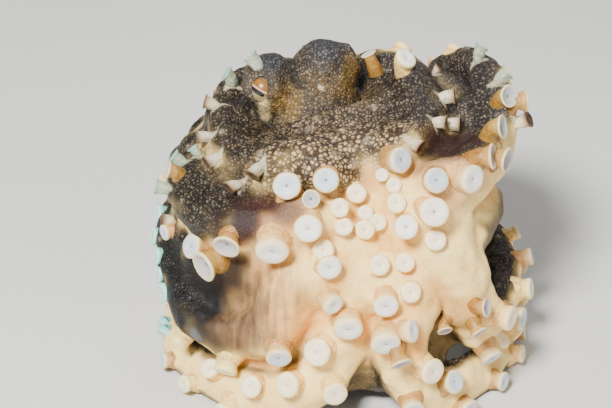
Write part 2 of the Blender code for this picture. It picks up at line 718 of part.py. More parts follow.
def main():
    """Build every node of the octopus."""
    for obj in list(bpy.data.objects):
        bpy.data.objects.remove(obj)
    octopus = bpy.data.collections.new("coconut_octopus")
    work = bpy.data.collections.new("work")
    for collection in (octopus, work):
        bpy.context.scene.collection.children.link(collection)

    lines = {name: smooth_line(keys, SETTLE_POINTS) for name, keys in ARM_KEYS.items()}
    arms = {name: Arm(name, line) for name, line in settle(lines).items()}

    body = make_body(work)
    head = copy_of(body, "head", octopus)
    slice_off(head, CROWN_CUT, 1)
    slice_off(head, MANTLE_CUT, -1)
    mantle = copy_of(body, "mantle", octopus)
    slice_off(mantle, MANTLE_CUT, 1)
    crown = copy_of(body, "crown", octopus)
    slice_off(crown, CROWN_CUT, -1)
    bpy.data.objects.remove(body)

    for name, arm in arms.items():
        loft(f"root_{name}", arm.rings(0, arm.free), work)
    for first, second, *sizes in WEBS:
        web_sheet(arms[first], arms[second], *sizes, work)
    combine(crown, work, "UNION")
    cut_clear(crown, [head], work)

    for name, arm in arms.items():
        loft(f"arm_{name}_inner", arm.rings(arm.free, arm.middle), octopus)
        loft(f"arm_{name}_outer", arm.rings(arm.middle, 1), octopus)
    for node, suckers in plan_suckers(arms).items():
        add_suckers(octopus.objects[node], suckers, work)
    for name, cut in WEB_CUTS.items():
        slice_off(copy_of(crown, name, octopus), cut)
        slice_off(crown, cut, -1)

    add_siphon(head, mantle, octopus, work)
    add_eyes(head, octopus, work)
    set_down(octopus)

    for obj in octopus.objects:
        dress(obj)


main()
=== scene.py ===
"""Looks of the coconut octopus: one living skin, its suckers and eyes, and the studio round them.

Lengths are in millimetres in the part's own frame, +Z up, with the animal facing -Y, and they turn into
metres where a mesh is made. The arms' middle lines and the body's forms are those of the solids.
"""

import logging
import math
from dataclasses import dataclass, field
from enum import Enum

import bpy
import numpy as np
from mathutils import Euler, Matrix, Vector, noise


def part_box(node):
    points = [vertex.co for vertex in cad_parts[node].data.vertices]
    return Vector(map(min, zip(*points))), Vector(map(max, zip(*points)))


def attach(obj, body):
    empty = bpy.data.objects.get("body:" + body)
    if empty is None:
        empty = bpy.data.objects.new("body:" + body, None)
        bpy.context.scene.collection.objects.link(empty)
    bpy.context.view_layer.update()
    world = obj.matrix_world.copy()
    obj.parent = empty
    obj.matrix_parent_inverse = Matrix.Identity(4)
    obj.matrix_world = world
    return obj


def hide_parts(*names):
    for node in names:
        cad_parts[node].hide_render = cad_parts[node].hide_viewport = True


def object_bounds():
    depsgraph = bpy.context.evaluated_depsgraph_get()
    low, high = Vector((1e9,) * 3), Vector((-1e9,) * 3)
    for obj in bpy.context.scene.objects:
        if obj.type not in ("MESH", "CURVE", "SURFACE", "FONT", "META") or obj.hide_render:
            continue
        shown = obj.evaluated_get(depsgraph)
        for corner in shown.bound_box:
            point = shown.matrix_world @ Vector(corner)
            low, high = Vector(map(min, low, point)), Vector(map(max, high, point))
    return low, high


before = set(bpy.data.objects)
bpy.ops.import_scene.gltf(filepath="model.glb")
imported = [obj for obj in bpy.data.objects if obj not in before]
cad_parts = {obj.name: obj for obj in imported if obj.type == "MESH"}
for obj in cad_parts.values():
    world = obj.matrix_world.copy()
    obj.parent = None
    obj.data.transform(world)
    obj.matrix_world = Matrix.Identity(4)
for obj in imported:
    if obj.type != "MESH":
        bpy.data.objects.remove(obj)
SOLIDS_BOX = [list(corner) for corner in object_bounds()]

logger = logging.getLogger("octopus")

MM = 0.001
SEED = 11
BODY = "root"

Array = np.ndarray
Spec = tuple[tuple[float, float, float], tuple[float, float, float], float]

# Photograph: its size, and where it shows the point that the camera aims at
PHOTO_WIDTH = 612
PHOTO_HEIGHT = 408
AIM_COLUMN = 335
AIM_ROW = 205

# Points that a smooth line is worked out at, between two of its keys
BETWEEN_KEYS = 16


def linear(colour: str) -> tuple[float, float, float, float]:
    """Turn an sRGB hex colour into linear light.

    Args:
        colour: The colour as "#rrggbb".

    Returns:
        Red, green, blue and alpha, in linear light.
    """
    shares = [int(colour[i:i + 2], 16) / 255 for i in (1, 3, 5)]
    light = [s / 12.92 if s <= 0.04045 else ((s + 0.055) / 1.055) ** 2.4 for s in shares]
    return (*light, 1.0)


def unit(v: Array) -> Array:
    """The vector, or each row of vectors, at length one."""
    v = np.asarray(v, float)
    return v / np.maximum(np.linalg.norm(v, axis=-1, keepdims=True), 1e-9)


def ease(x: Array, start: float, end: float) -> Array:
    """A smooth step from 0 at start to 1 at end."""
    u = np.clip((np.asarray(x, float) - start) / (end - start), 0, 1)
    return u * u * (3 - 2 * u)


def resample(curve: Array, count: int) -> Array:
    """The same curve as count evenly spaced points."""
    run = np.append(0, np.cumsum(np.linalg.norm(np.diff(curve, axis=0), axis=1)))
    even = np.linspace(0, run[-1], count)
    return np.stack([np.interp(even, run, curve[:, i]) for i in range(3)], axis=1)


def smooth_line(keys: Array, count: int) -> Array:
    """Draw a smooth curve through key points.

    Args:
        keys: The points that the curve passes through.
        count: How many points to return.

    Returns:
        Evenly spaced points on the curve.
    """
    keys = np.array(keys, float)
    padded = np.vstack([2 * keys[0] - keys[1], keys, 2 * keys[-1] - keys[-2]])
    curve = []
    for before, start, end, after in zip(padded, padded[1:], padded[2:], padded[3:]):
        for u in np.linspace(0, 1, BETWEEN_KEYS, endpoint=False):
            curve.append(0.5 * (2 * start + (end - before) * u
                                + (2 * before - 5 * start + 4 * end - after) * u * u
                                + (3 * start - before - 3 * end + after) * u ** 3))
    return resample(np.array(curve + [keys[-1]]), count)


# Settings that many of the shaders' nodes share
BLENDED = {"data_type": "RGBA"}
MULTIPLIED = {"data_type": "RGBA", "blend_type": "MULTIPLY"}
SMOOTH = {"interpolation_type": "SMOOTHSTEP"}
TIMES = {"operation": "MULTIPLY"}
TIMES_PLUS = {"operation": "MULTIPLY_ADD"}


def add_node(tree: bpy.types.NodeTree, kind: str, sockets: dict | None = None, **settings) -> bpy.types.Node:
    """Add a shader node with its settings and links.

    Args:
        tree: The node tree that takes the node.
        kind: The node's type, without its ShaderNode prefix.
        sockets: Input values by name or index; an output socket is linked instead.
        **settings: Properties of the node itself.

    Returns:
        The new node.
    """
    node = tree.nodes.new("ShaderNode" + kind)
    for name, value in settings.items():
        setattr(node, name, value)
    for key, value in (sockets or {}).items():
        if isinstance(value, bpy.types.NodeSocket):
            tree.links.new(value, node.inputs[key])
        else:
            node.inputs[key].default_value = value
    return node


def new_material(
        name: str) -> tuple[bpy.types.Material, bpy.types.NodeTree, bpy.types.Node, bpy.types.NodeSocket]:
    """Start a material that is made of nodes.

    Args:
        name: The material's name.

    Returns:
        The material, its node tree, its main shader and the socket that tells a place on the piece.
    """
    material = bpy.data.materials.new(name)
    material.use_nodes = True
    tree = material.node_tree
    return material, tree, tree.nodes["Principled BSDF"], add_node(tree, "TexCoord").outputs["Object"]


def make_mesh(name: str, points: Array, *groups: Array) -> bpy.types.Object:
    """Make a smooth-shaded object from points in millimetres.

    Args:
        name: The piece's name.
        points: Corners, one row each, in millimetres.
        *groups: Corner numbers, one row for each face, with faces of one kind in each group.

    Returns:
        The new object, linked to the scene.
    """
    mesh = bpy.data.meshes.new(name)
    mesh.vertices.add(len(points))
    mesh.vertices.foreach_set("co", (np.asarray(points) * MM).astype(np.float32).ravel())
    corners = np.concatenate([faces.ravel() for faces in groups])
    sides = np.concatenate([np.full(len(faces), faces.shape[1]) for faces in groups])
    mesh.loops.add(len(corners))
    mesh.loops.foreach_set("vertex_index", corners.astype(np.int32))
    mesh.polygons.add(len(sides))
    mesh.polygons.foreach_set("loop_start", (np.cumsum(sides) - sides).astype(np.int32))
    mesh.update(calc_edges=True)
    mesh.validate()
    mesh.shade_smooth()
    obj = bpy.data.objects.new(name, mesh)
    bpy.context.scene.collection.objects.link(obj)
    return obj


def paint(obj: bpy.types.Object, name: str, values: Array) -> None:
    """Store a number or a colour for every corner of a mesh.

    Args:
        obj: The mesh object.
        name: The attribute's name, which its material reads.
        values: One number, or one row of linear red, green and blue, for each corner.
    """
    if values.ndim == 1:
        layer = obj.data.attributes.new(name, "FLOAT", "POINT")
        layer.data.foreach_set("value", values.astype(np.float32))
    else:
        layer = obj.data.attributes.new(name, "FLOAT_COLOR", "POINT")
        solid = np.hstack([values, np.ones((len(values), 1))])
        layer.data.foreach_set("color", solid.astype(np.float32).ravel())


# Arms


@dataclass(frozen=True)
class ArmSizes:
    """Sizes of every arm, in millimetres, shared with the solids."""

    radius: float = 6.5
    tip_radius: float = 0.8
    root_radius: float = 3.6
    root_grows: float = 12.0
    taper: float = 0.56
    wide: float = 1.08
    oral: float = 0.8
    back: float = 1.0

    def radius_at(self, share: Array, length: float) -> Array:
        """Thickness along an arm.

        Args:
            share: Shares of the arm's length, from the mouth to the tip.
            length: The arm's length.

        Returns:
            The radius at each share.
        """
        share = np.asarray(share, float)
        taper = self.tip_radius + (self.radius - self.tip_radius) * np.clip(1 - share, 0, 1) ** self.taper
        grown = np.clip(share * length / self.root_grows, 0, 1)
        root = self.root_radius / self.radius
        return taper * (root + (1 - root) * grown * grown * (3 - 2 * grown))


ARM = ArmSizes()

# Points that each arm's middle line passes through, from the mouth to the tip
ARM_KEYS = {
    "l1": [(6, -21, 51), (0, -21, 54.5), (-7, -20, 54.5), (-14.5, -17, 54), (-22, -11, 53.5),
           (-26, -3, 55), (-27.5, 7, 57), (-24.5, 17, 59), (-18, 25, 59.5), (-12, 31, 57),
           (-9, 39, 51), (-11, 46, 43), (-10, 53, 37)],
    "r1": [(10.5, -21, 52), (13, -20, 57), (16.5, -16, 60), (19.5, -9, 61.5), (20.5, -1, 63),
           (19.5, 8, 65), (16, 16, 65.5), (11, 23, 63), (6, 31, 57), (5, 39, 51), (7, 47, 44), (6, 54, 36)],
    "l2": [(4, -22, 46.5), (-1, -26, 46), (-8, -29, 46.5), (-16, -29, 46), (-24, -27, 46),
           (-31, -21, 45), (-35, -12, 45), (-37, -1, 44.5), (-36, 10, 43.5), (-31, 20, 42),
           (-25, 30, 39), (-21, 39, 34), (-19, 48, 28), (-14, 57, 24)],
    "r2": [(13, -22, 48.5), (19, -26, 52.5), (25.5, -26, 54.5), (32, -21, 56.5), (36.5, -12, 57.5),
           (38.5, -2, 62), (38, 9, 65), (35, 18, 65), (30, 26, 60.5), (25, 33, 53),
           (22, 41, 44), (21, 49, 35), (16, 57, 28)],
    "l3": [(5, -23, 43), (1.5, -30, 39.5), (-3.5, -34, 32.5), (-11, -36, 26.5), (-21, -33, 19),
           (-31, -27, 17.5), (-36.5, -19, 20.5), (-39, -10, 24), (-40.5, -1, 27.5), (-40.5, 8, 29),
           (-37, 18, 27), (-31, 27, 22), (-26, 36, 17), (-24, 45, 12), (-22, 54, 9)],
    "r3": [(12.5, -23, 44), (19, -28, 44), (25, -30, 41), (29.5, -30, 34.5), (31, -30, 27),
           (32.5, -28, 20), (37, -21, 16), (41, -11, 16), (43, 1, 18), (41, 13, 19), (36, 24, 18),
           (30, 33, 15), (27, 42, 11), (25, 51, 8)],
    "l4": [(6.5, -23, 41), (4.5, -30, 36.5), (2.5, -34, 30.5), (0.5, -36, 22), (-3, -38, 13),
           (-10, -38, 5.5), (-21, -34, 4), (-31, -26, 4), (-38, -14, 3.5), (-40, -1, 3), (-38, 11, 2.5),
           (-33, 22, 2), (-29, 33, 1.5), (-27, 43, 1)],
    "r4": [(10, -23, 40.5), (9.5, -30, 36), (10.5, -34, 30.5), (13, -36, 24), (15, -38, 15),
           (19, -37, 6.5), (28, -32, 4), (36, -23, 4), (41, -11, 3.5), (42, 2, 3), (39, 14, 2.5),
           (34, 25, 2), (30, 35, 1.5), (28, 45, 1)],
}

# The way the suckers face, at even steps from the mouth to the tip
FACE_KEYS = {
    "l1": [(0, -0.87, 0.4), (-0.1, -0.95, -0.1), (-0.75, 0.0, -0.5), (-0.9, 0.4, 0.0),
           (-0.2, 0.9, 0.4), (0.1, 0.7, 0.6), (0.3, 0.7, 0.5)],
    "r1": [(0, -0.87, 0.4), (0.6, -0.5, -0.3), (0.9, 0.2, 0.0), (0.4, 0.4, 0.8),
           (0.4, 0.5, 0.7), (0.5, 0.8, 0.3), (0.3, 0.9, 0.2)],
    "l2": [(0, -0.87, 0.5), (-0.1, -0.9, -0.3), (-0.6, -0.5, -0.6), (-0.9, 0.1, -0.3),
           (-0.8, 0.5, 0.2), (-0.5, 0.6, 0.5), (-0.3, 0.6, 0.7)],
    "r2": [(0, -0.87, 0.5), (0.2, -0.9, -0.2), (0.8, -0.4, -0.2), (0.9, -0.1, 0.3),
           (0.7, 0.5, 0.5), (0.8, 0.5, 0.3), (0.6, 0.8, 0.1)],
    "l3": [(0, -0.87, 0.5), (-0.2, -0.95, 0.0), (-0.6, -0.7, -0.4), (-0.9, -0.1, -0.2),
           (-0.9, 0.3, 0.1), (-0.7, 0.6, 0.3), (-0.4, 0.8, 0.4)],
    "r3": [(0, -0.87, 0.5), (0.3, -0.9, 0.2), (0.7, -0.6, -0.3), (0.9, -0.2, -0.1),
           (0.9, 0.3, 0.1), (0.7, 0.6, 0.3), (0.5, 0.8, 0.4)],
    "l4": [(0, -0.87, 0.5), (0.0, -1.0, 0.1), (-0.3, -0.9, 0.2), (-0.7, -0.5, 0.5),
           (-0.9, 0.0, 0.5), (-0.8, 0.3, 0.5), (-0.6, 0.5, 0.6)],
    "r4": [(0, -0.87, 0.5), (0.1, -1.0, 0.1), (0.4, -0.9, 0.2), (0.8, -0.4, 0.5),
           (0.9, 0.0, 0.5), (0.8, 0.3, 0.5), (0.6, 0.5, 0.6)],
}

# Webs: neighbours round the crown, how far along each arm it reaches, and how its middle bulges
WEBS = [
    ("l1", "r1", 34, 32, (-1.0, 0.0, 5.0)),
    ("l1", "l2", 52, 60, (0.0, 0.0, 0.0)),
    ("l2", "l3", 74, 94, (-2.0, 0.0, 0.0)),
    ("l3", "l4", 74, 68, (0.0, 1.0, 0.0)),
    ("l4", "r4", 52, 52, (0.0, 1.0, 0.0)),
    ("r4", "r3", 52, 50, (-1.0, 2.0, 0.0)),
    ("r3", "r2", 44, 46, (0.0, 2.0, 0.0)),
    ("r2", "r1", 50, 38, (0.0, 0.0, 0.0)),
]

# Body: centre, half sizes and turn about X in degrees
CROWN: Spec = ((8.5, -15.5, 46.5), (14, 9.5, 14), -30)
NECK: Spec = ((2, -5, 52), (12, 11, 10.5), 0)
HEAD: Spec = ((-7.3, 8, 57.5), (13.5, 12, 12), 0)
BROW_NEAR: Spec = ((-15.8, 5, 66.2), (6.4, 7.5, 7.4), 0)
BROW_FAR: Spec = ((-2.8, 9, 67.4), (7.8, 8.5, 8.6), 0)
MANTLE_LINE = [(-5, 14, 55), (-4, 21, 45), (-1, 29, 34), (1, 36, 24), (1, 43, 18.5)]
MANTLE_RADII = [11.5, 14.5, 18.5, 21, 20]
SIPHON_LINE = [(2, 10, 44), (11, 9, 40), (19, 6, 38), (26, 2, 38)]
SIPHON_RADII = [6.5, 5.2, 4.0, 3.6]
SIPHON_BORE = 2.2
SIPHON_DEEP = 9.0

# Thick skin that fills between the arms and the head: points along its middle, and its radius
FILLS = [
    ([(-13, -13, 53), (-19, -5, 53.5), (-20, 5, 54.5), (-17, 14, 55), (-11, 22, 54)], 5.8),
    ([(9, -12, 57), (12, -3, 58.5), (12, 6, 59.5), (10, 14, 59), (5, 22, 56)], 5.6),
    ([(22, -16, 53), (28, -8, 56), (29.5, 3, 58.5), (27, 12, 59.5), (22, 20, 57)], 5.4),
    ([(-18, -22, 49), (-27, -15, 48.5), (-31, -5, 49), (-31, 6, 50), (-27, 16, 50)], 5.2),
    ([(-4, -27, 40), (-12, -28, 36), (-22, -24, 32), (-30, -17, 31), (-34, -7, 33)], 5.5),
    ([(20, -26, 48), (26, -24, 44), (31, -19, 42), (34, -10, 42)], 6.0),
]
BAND: Spec = ((-0.5, -12, 55), (18, 10, 7.5), -15)

EYES = {
    "eye_left": (BROW_NEAR, (-0.27, -0.92, 0.28), 4.3),
    "eye_right": (BROW_FAR, (0.8, 0.28, 0.35), 5.1),
}


def sizes_along(sizes: list[float], count: int) -> Array:
    """The sizes read at count even steps."""
    return np.interp(np.linspace(0, 1, count), np.linspace(0, 1, len(sizes)), sizes)


@dataclass
class Settler:
    """Pushes the arms' middle lines clear of each other and of the body, as in the solids.

    The first share of each arm, held, stays where it is. Give is how much of a clash one arm clears in a
    round, and pace is how much of that it moves.
    """

    rounds: int = 60
    points: int = 120
    smooth: int = 9
    spacing: float = 1.1
    floor_sink: float = 0.86
    gap: float = 0.3
    balls: int = 14
    held: float = 0.1
    give: float = 0.5
    pace: float = 0.8

    def off_ellipsoid(self, points: Array, radii: Array, spec: Spec) -> Array:
        """How far points of these radii have to move to clear an ellipsoid."""
        centre, size, turn = spec
        axes = np.array(Euler((math.radians(turn), 0, 0)).to_matrix())
        local = (points - centre) @ axes
        reach = np.array(size) + radii[:, None] + self.gap
        depth = np.linalg.norm(local / reach, axis=1)
        out = unit(local / reach ** 2) @ axes.T
        return out * (np.maximum(1 - depth, 0) * np.min(reach, axis=1))[:, None]

    def off_balls(self, points: Array, radii: Array, balls: Array, ball_radii: Array) -> Array:
        """How far points of these radii have to move to clear a row of balls."""
        away = points[:, None] - balls[None]
        gaps = np.linalg.norm(away, axis=2)
        need = np.maximum(radii[:, None] + ball_radii[None] + self.gap - gaps, 0)
        deepest = np.argmax(need, axis=1)
        row = np.arange(len(points))
        return unit(away[row, deepest]) * need[row, deepest][:, None]

    def off_body(self, points: Array, radii: Array) -> Array:
        """How far points of these radii have to move to clear the head, the mantle and the siphon."""
        push = sum(self.off_ellipsoid(points, radii, spec) for spec in (NECK, HEAD, BROW_NEAR, BROW_FAR))
        for line, sizes in ((MANTLE_LINE, MANTLE_RADII), (SIPHON_LINE, SIPHON_RADII)):
            push += self.off_balls(points, radii, smooth_line(line, self.balls),
                                   sizes_along(sizes, self.balls))
        return push

    def settle(self) -> dict[str, Array]:
        """Settle all the arms together.

        Returns:
            Each arm's middle line, by its name.
        """
        lines = {name: smooth_line(keys, self.points) for name, keys in ARM_KEYS.items()}
        share = np.linspace(0, 1, self.points)
        free = np.clip((share - self.held) / self.held, 0, 1)[:, None]
        window = np.hanning(self.smooth + 2)[1:-1]
        window /= window.sum()
        lengths = {name: np.linalg.norm(np.diff(line, axis=0), axis=1).sum() for name, line in lines.items()}
        radii = {name: ARM.radius_at(share, lengths[name]) * self.spacing for name in lines}
        for _ in range(self.rounds):
            moved = {}
            for name, line in lines.items():
                push = self.off_body(line, radii[name])
                for other, rival in lines.items():
                    if other != name:
                        push += self.give * self.off_balls(line, radii[name], rival, radii[other])
                push[:, 2] += np.maximum(radii[name] * self.floor_sink / self.spacing - line[:, 2], 0)
                push *= free
                padded = np.pad(push, ((self.smooth // 2,) * 2, (0, 0)), mode="edge")
                eased = np.stack([np.convolve(padded[:, i], window, "valid") for i in range(3)], axis=1)
                moved[name] = line + eased * self.pace
            for name, line in moved.items():
                slack = line.copy()
                slack[1:-1] = 0.5 * line[1:-1] + 0.25 * (line[:-2] + line[2:])
                lines[name] = resample(line + (slack - line) * free * self.give, self.points)
        return lines


class Arm:
    """One arm's middle line, with its thickness and the way that its suckers face."""

    def __init__(self, name: str, line: Array) -> None:
        """Read the sections along a settled middle line."""
        self.line = line
        self.length = float(np.linalg.norm(np.diff(line, axis=0), axis=1).sum())
        self.shares = np.linspace(0, 1, len(line))
        self.tangents = unit(np.gradient(line, axis=0))
        faces = self.read_directions(FACE_KEYS[name], len(line))
        faces -= self.tangents * np.sum(faces * self.tangents, axis=1, keepdims=True)
        self.faces = unit(faces)
        self.radii = ARM.radius_at(self.shares, self.length)

    @staticmethod
    def read_directions(keys: list, count: int) -> Array:
        """Directions read at even steps between the keys, smoothly."""
        keys = unit(np.array(keys, float))
        where = np.linspace(0, len(keys) - 1, count)
        low = np.minimum(where.astype(int), len(keys) - 2)
        u = (where - low)[:, None]
        u = u * u * (3 - 2 * u)
        return keys[low] * (1 - u) + keys[low + 1] * u

    def at(self, share: float) -> tuple[Array, Array, Array, Array, float]:
        """Read one section of the arm.

        Args:
            share: A share of the arm's length.

        Returns:
            The place, tangent, sucker direction, side direction and radius there.
        """
        place, tangent, face = (np.array([np.interp(share, self.shares, rows[:, i]) for i in range(3)])
                                for rows in (self.line, self.tangents, self.faces))
        tangent = unit(tangent)
        face = unit(face - tangent * np.dot(face, tangent))
        return place, tangent, face, np.cross(tangent, face), float(ARM.radius_at(share, self.length))


# Skin


@dataclass
class Field:
    """Signed distances on a grid: below zero inside the animal."""

    low: Array
    high: Array
    step: float
    blend: float
    far: float = 6.0
    total: Array = field(init=False)
    axes: list[Array] = field(init=False)

    def __post_init__(self) -> None:
        """Lay out the grid."""
        counts = np.ceil((self.high - self.low) / self.step).astype(int) + 1
        self.axes = [(self.low[i] + self.step * np.arange(counts[i])).astype(np.float32) for i in range(3)]
        self.total = np.full(tuple(counts), 1e-9, np.float32)

    def window(self, low: Array, high: Array) -> tuple[tuple[slice, ...], list[Array]]:
        """The part of the grid between two corners, as slices and as open coordinate arrays."""
        cuts = []
        for i in range(3):
            start = int(np.clip((low[i] - self.low[i]) / self.step, 0, len(self.axes[i]) - 1))
            end = int(np.clip((high[i] - self.low[i]) / self.step + 2, start + 1, len(self.axes[i])))
            cuts.append(slice(start, end))
        x, y, z = (self.axes[i][cuts[i]] for i in range(3))
        return tuple(cuts), [x[:, None, None], y[None, :, None], z[None, None, :]]

    def merge(self, cuts: tuple[slice, ...], distances: Array) -> None:
        """Blend one form into the field."""
        self.total[cuts] += np.exp(-np.clip(distances, -self.far * 4, self.far) / self.blend)

    def add_ellipsoid(self, spec: Spec) -> None:
        """Blend in an ellipsoid from its centre, half sizes and turn about X in degrees."""
        centre, size, turn = np.array(spec[0], float), np.array(spec[1], float), math.radians(spec[2])
        reach = size.max() + self.far
        cuts, (x, y, z) = self.window(centre - reach, centre + reach)
        x, y, z = x - centre[0], y - centre[1], z - centre[2]
        along = y * math.cos(turn) + z * math.sin(turn)
        upward = z * math.cos(turn) - y * math.sin(turn)
        near = np.sqrt((x / size[0]) ** 2 + (along / size[1]) ** 2 + (upward / size[2]) ** 2)
        slope = np.sqrt((x / size[0] ** 2) ** 2 + (along / size[1] ** 2) ** 2 + (upward / size[2] ** 2) ** 2)
        self.merge(cuts, near * (near - 1) / np.maximum(slope, 1e-6))

    def add_balls(self, points: Array, radii: Array) -> None:
        """Blend in a crowd of balls as one form."""
        cuts, (x, y, z) = self.window(points.min(axis=0) - radii.max() - self.far,
                                      points.max(axis=0) + radii.max() + self.far)
        near = np.full(tuple(cut.stop - cut.start for cut in cuts), self.far, np.float32)
        offset = [cut.start for cut in cuts]
        for place, radius in zip(points, radii):
            reach = radius + self.far / 2
            small, (x, y, z) = self.window(place - reach, place + reach)
            local = tuple(slice(cut.start - o, cut.stop - o) for cut, o in zip(small, offset))
            gap = np.sqrt((x - place[0]) ** 2 + (y - place[1]) ** 2 + (z - place[2]) ** 2) - radius
            np.minimum(near[local], gap, out=near[local])
        self.merge(cuts, near)

    def add_arm(self, arm: Arm, thicker: Array) -> None:
        """Blend in an arm.

        Args:
            arm: The arm.
            thicker: How much thicker its section is at each point of its line, as a factor.
        """
        radii = arm.radii * thicker
        reach = radii.max() * ARM.wide + self.far
        cuts, _ = self.window(arm.line.min(axis=0) - reach, arm.line.max(axis=0) + reach)
        near = np.full(tuple(cut.stop - cut.start for cut in cuts), self.far, np.float32)
        offset = [cut.start for cut in cuts]
        for i in range(len(arm.line) - 1):
            start, along = arm.line[i], arm.line[i + 1] - arm.line[i]
            reach = radii[i] * ARM.wide + self.far / 2
            small, (x, y, z) = self.window(start - reach, start + reach)
            local = tuple(slice(cut.start - o, cut.stop - o) for cut, o in zip(small, offset))
            x, y, z = x - start[0], y - start[1], z - start[2]
            share = np.clip((x * along[0] + y * along[1] + z * along[2]) / (along @ along), 0, 1)
            x, y, z = x - share * along[0], y - share * along[1], z - share * along[2]
            face = arm.faces[i]
            depth = x * face[0] + y * face[1] + z * face[2]
            square = x * x + y * y + z * z - depth * depth
            deep = np.where(depth > 0, depth / ARM.oral, depth / ARM.back)
            gap = np.sqrt(square / ARM.wide ** 2 + deep * deep) - radii[i] - share * (radii[i + 1] - radii[i])
            np.minimum(near[local], gap, out=near[local])
        self.merge(cuts, near)

    def distances(self) -> Array:
        """The blended distances."""
        return -self.blend * np.log(self.total)

    def read(self, values: Array, points: Array) -> Array:
        """Values of a grid at points, from the nearest grid points."""
        where = np.rint((points - self.low) / self.step).astype(int)
        where = np.clip(where, 0, np.array(values.shape) - 1)
        return values[where[:, 0], where[:, 1], where[:, 2]]


def surface_of(values: Array, low: Array, step: float) -> tuple[Array, Array]:
    """Draw the surface where a grid of distances passes zero, one corner for each cell it crosses.

    Args:
        values: Signed distances on the grid, below zero inside.
        low: The grid's lowest corner.
        step: The grid's spacing.

    Returns:
        The surface's corners and its four-sided faces.
    """
    inside = values < 0
    counts = np.array(values.shape) - 1
    filled = np.zeros(tuple(counts), np.int8)
    offsets = [(i, j, k) for i in (0, 1) for j in (0, 1) for k in (0, 1)]
    for i, j, k in offsets:
        filled += inside[i:i + counts[0], j:j + counts[1], k:k + counts[2]]
    cells = np.argwhere((filled > 0) & (filled < 8))
    corners = {o: values[cells[:, 0] + o[0], cells[:, 1] + o[1], cells[:, 2] + o[2]] for o in offsets}
    place = np.zeros((len(cells), 3))
    crossings = np.zeros(len(cells))
    for a in offsets:
        for axis in range(3):
            if a[axis]:
                continue
            b = tuple(v + (n == axis) for n, v in enumerate(a))
            crossed = (corners[a] < 0) != (corners[b] < 0)
            share = np.where(crossed, corners[a] / np.where(crossed, corners[a] - corners[b], 1), 0)
            spot = np.tile(np.array(a, float), (len(cells), 1))
            spot[:, axis] += share
            place += spot * crossed[:, None]
            crossings += crossed
    points = low + (cells + place / crossings[:, None]) * step
    numbers = np.full(tuple(counts), -1, np.int32)
    numbers[cells[:, 0], cells[:, 1], cells[:, 2]] = np.arange(len(cells))
    faces = []
    for axis in range(3):
        one, two = (axis + 1) % 3, (axis + 2) % 3
        ahead = [slice(None)] * 3
        ahead[axis] = slice(1, None)
        behind = [slice(None)] * 3
        behind[axis] = slice(None, -1)
        change = inside[tuple(behind)].astype(np.int8) - inside[tuple(ahead)]
        edges = np.argwhere(change != 0)
        edges = edges[(edges[:, one] > 0) & (edges[:, two] > 0)]
        edges = edges[(edges[:, one] < counts[one]) & (edges[:, two] < counts[two])]
        rising = change[edges[:, 0], edges[:, 1], edges[:, 2]] > 0
        ring = []
        for back_one, back_two in ((0, 0), (1, 0), (1, 1), (0, 1)):
            cell = edges.copy()
            cell[:, one] -= back_one
            cell[:, two] -= back_two
            ring.append(numbers[cell[:, 0], cell[:, 1], cell[:, 2]])
        ring = np.stack(ring, axis=1)
        faces.append(np.where(rising[:, None], ring, ring[:, ::-1]))
    return points, np.vstack(faces)


def links_of(faces: Array) -> tuple[Array, Array]:
    """Both ends of every side of the faces, each side both ways round."""
    start = np.concatenate([faces[:, i] for i in range(4)])
    end = np.concatenate([faces[:, (i + 1) % 4] for i in range(4)])
    return np.concatenate([start, end]), np.concatenate([end, start])


def relaxed(points: Array, faces: Array, rounds: int, pull: float) -> Array:
    """Smooth a mesh.

    Args:
        points: Its corners.
        faces: Its four-sided faces.
        rounds: How many times to smooth.
        pull: How far each corner moves towards the middle of its neighbours.

    Returns:
        The smoothed corners.
    """
    start, end = links_of(faces)
    count = np.bincount(start, minlength=len(points))[:, None]
    for _ in range(rounds):
        middle = np.stack([np.bincount(start, points[end, i], len(points)) for i in range(3)], axis=1)
        points = points + (middle / np.maximum(count, 1) - points) * pull
    return points


def normals_of(points: Array, faces: Array) -> Array:
    """The outward direction at every corner of a mesh of four-sided faces."""
    across = points[faces[:, 2]] - points[faces[:, 0]]
    beside = points[faces[:, 3]] - points[faces[:, 1]]
    out = np.cross(across, beside)
    total = np.zeros_like(points)
    for i in range(3):
        for corner in range(4):
            total[:, i] += np.bincount(faces[:, corner], out[:, i], len(points))
    return unit(total)


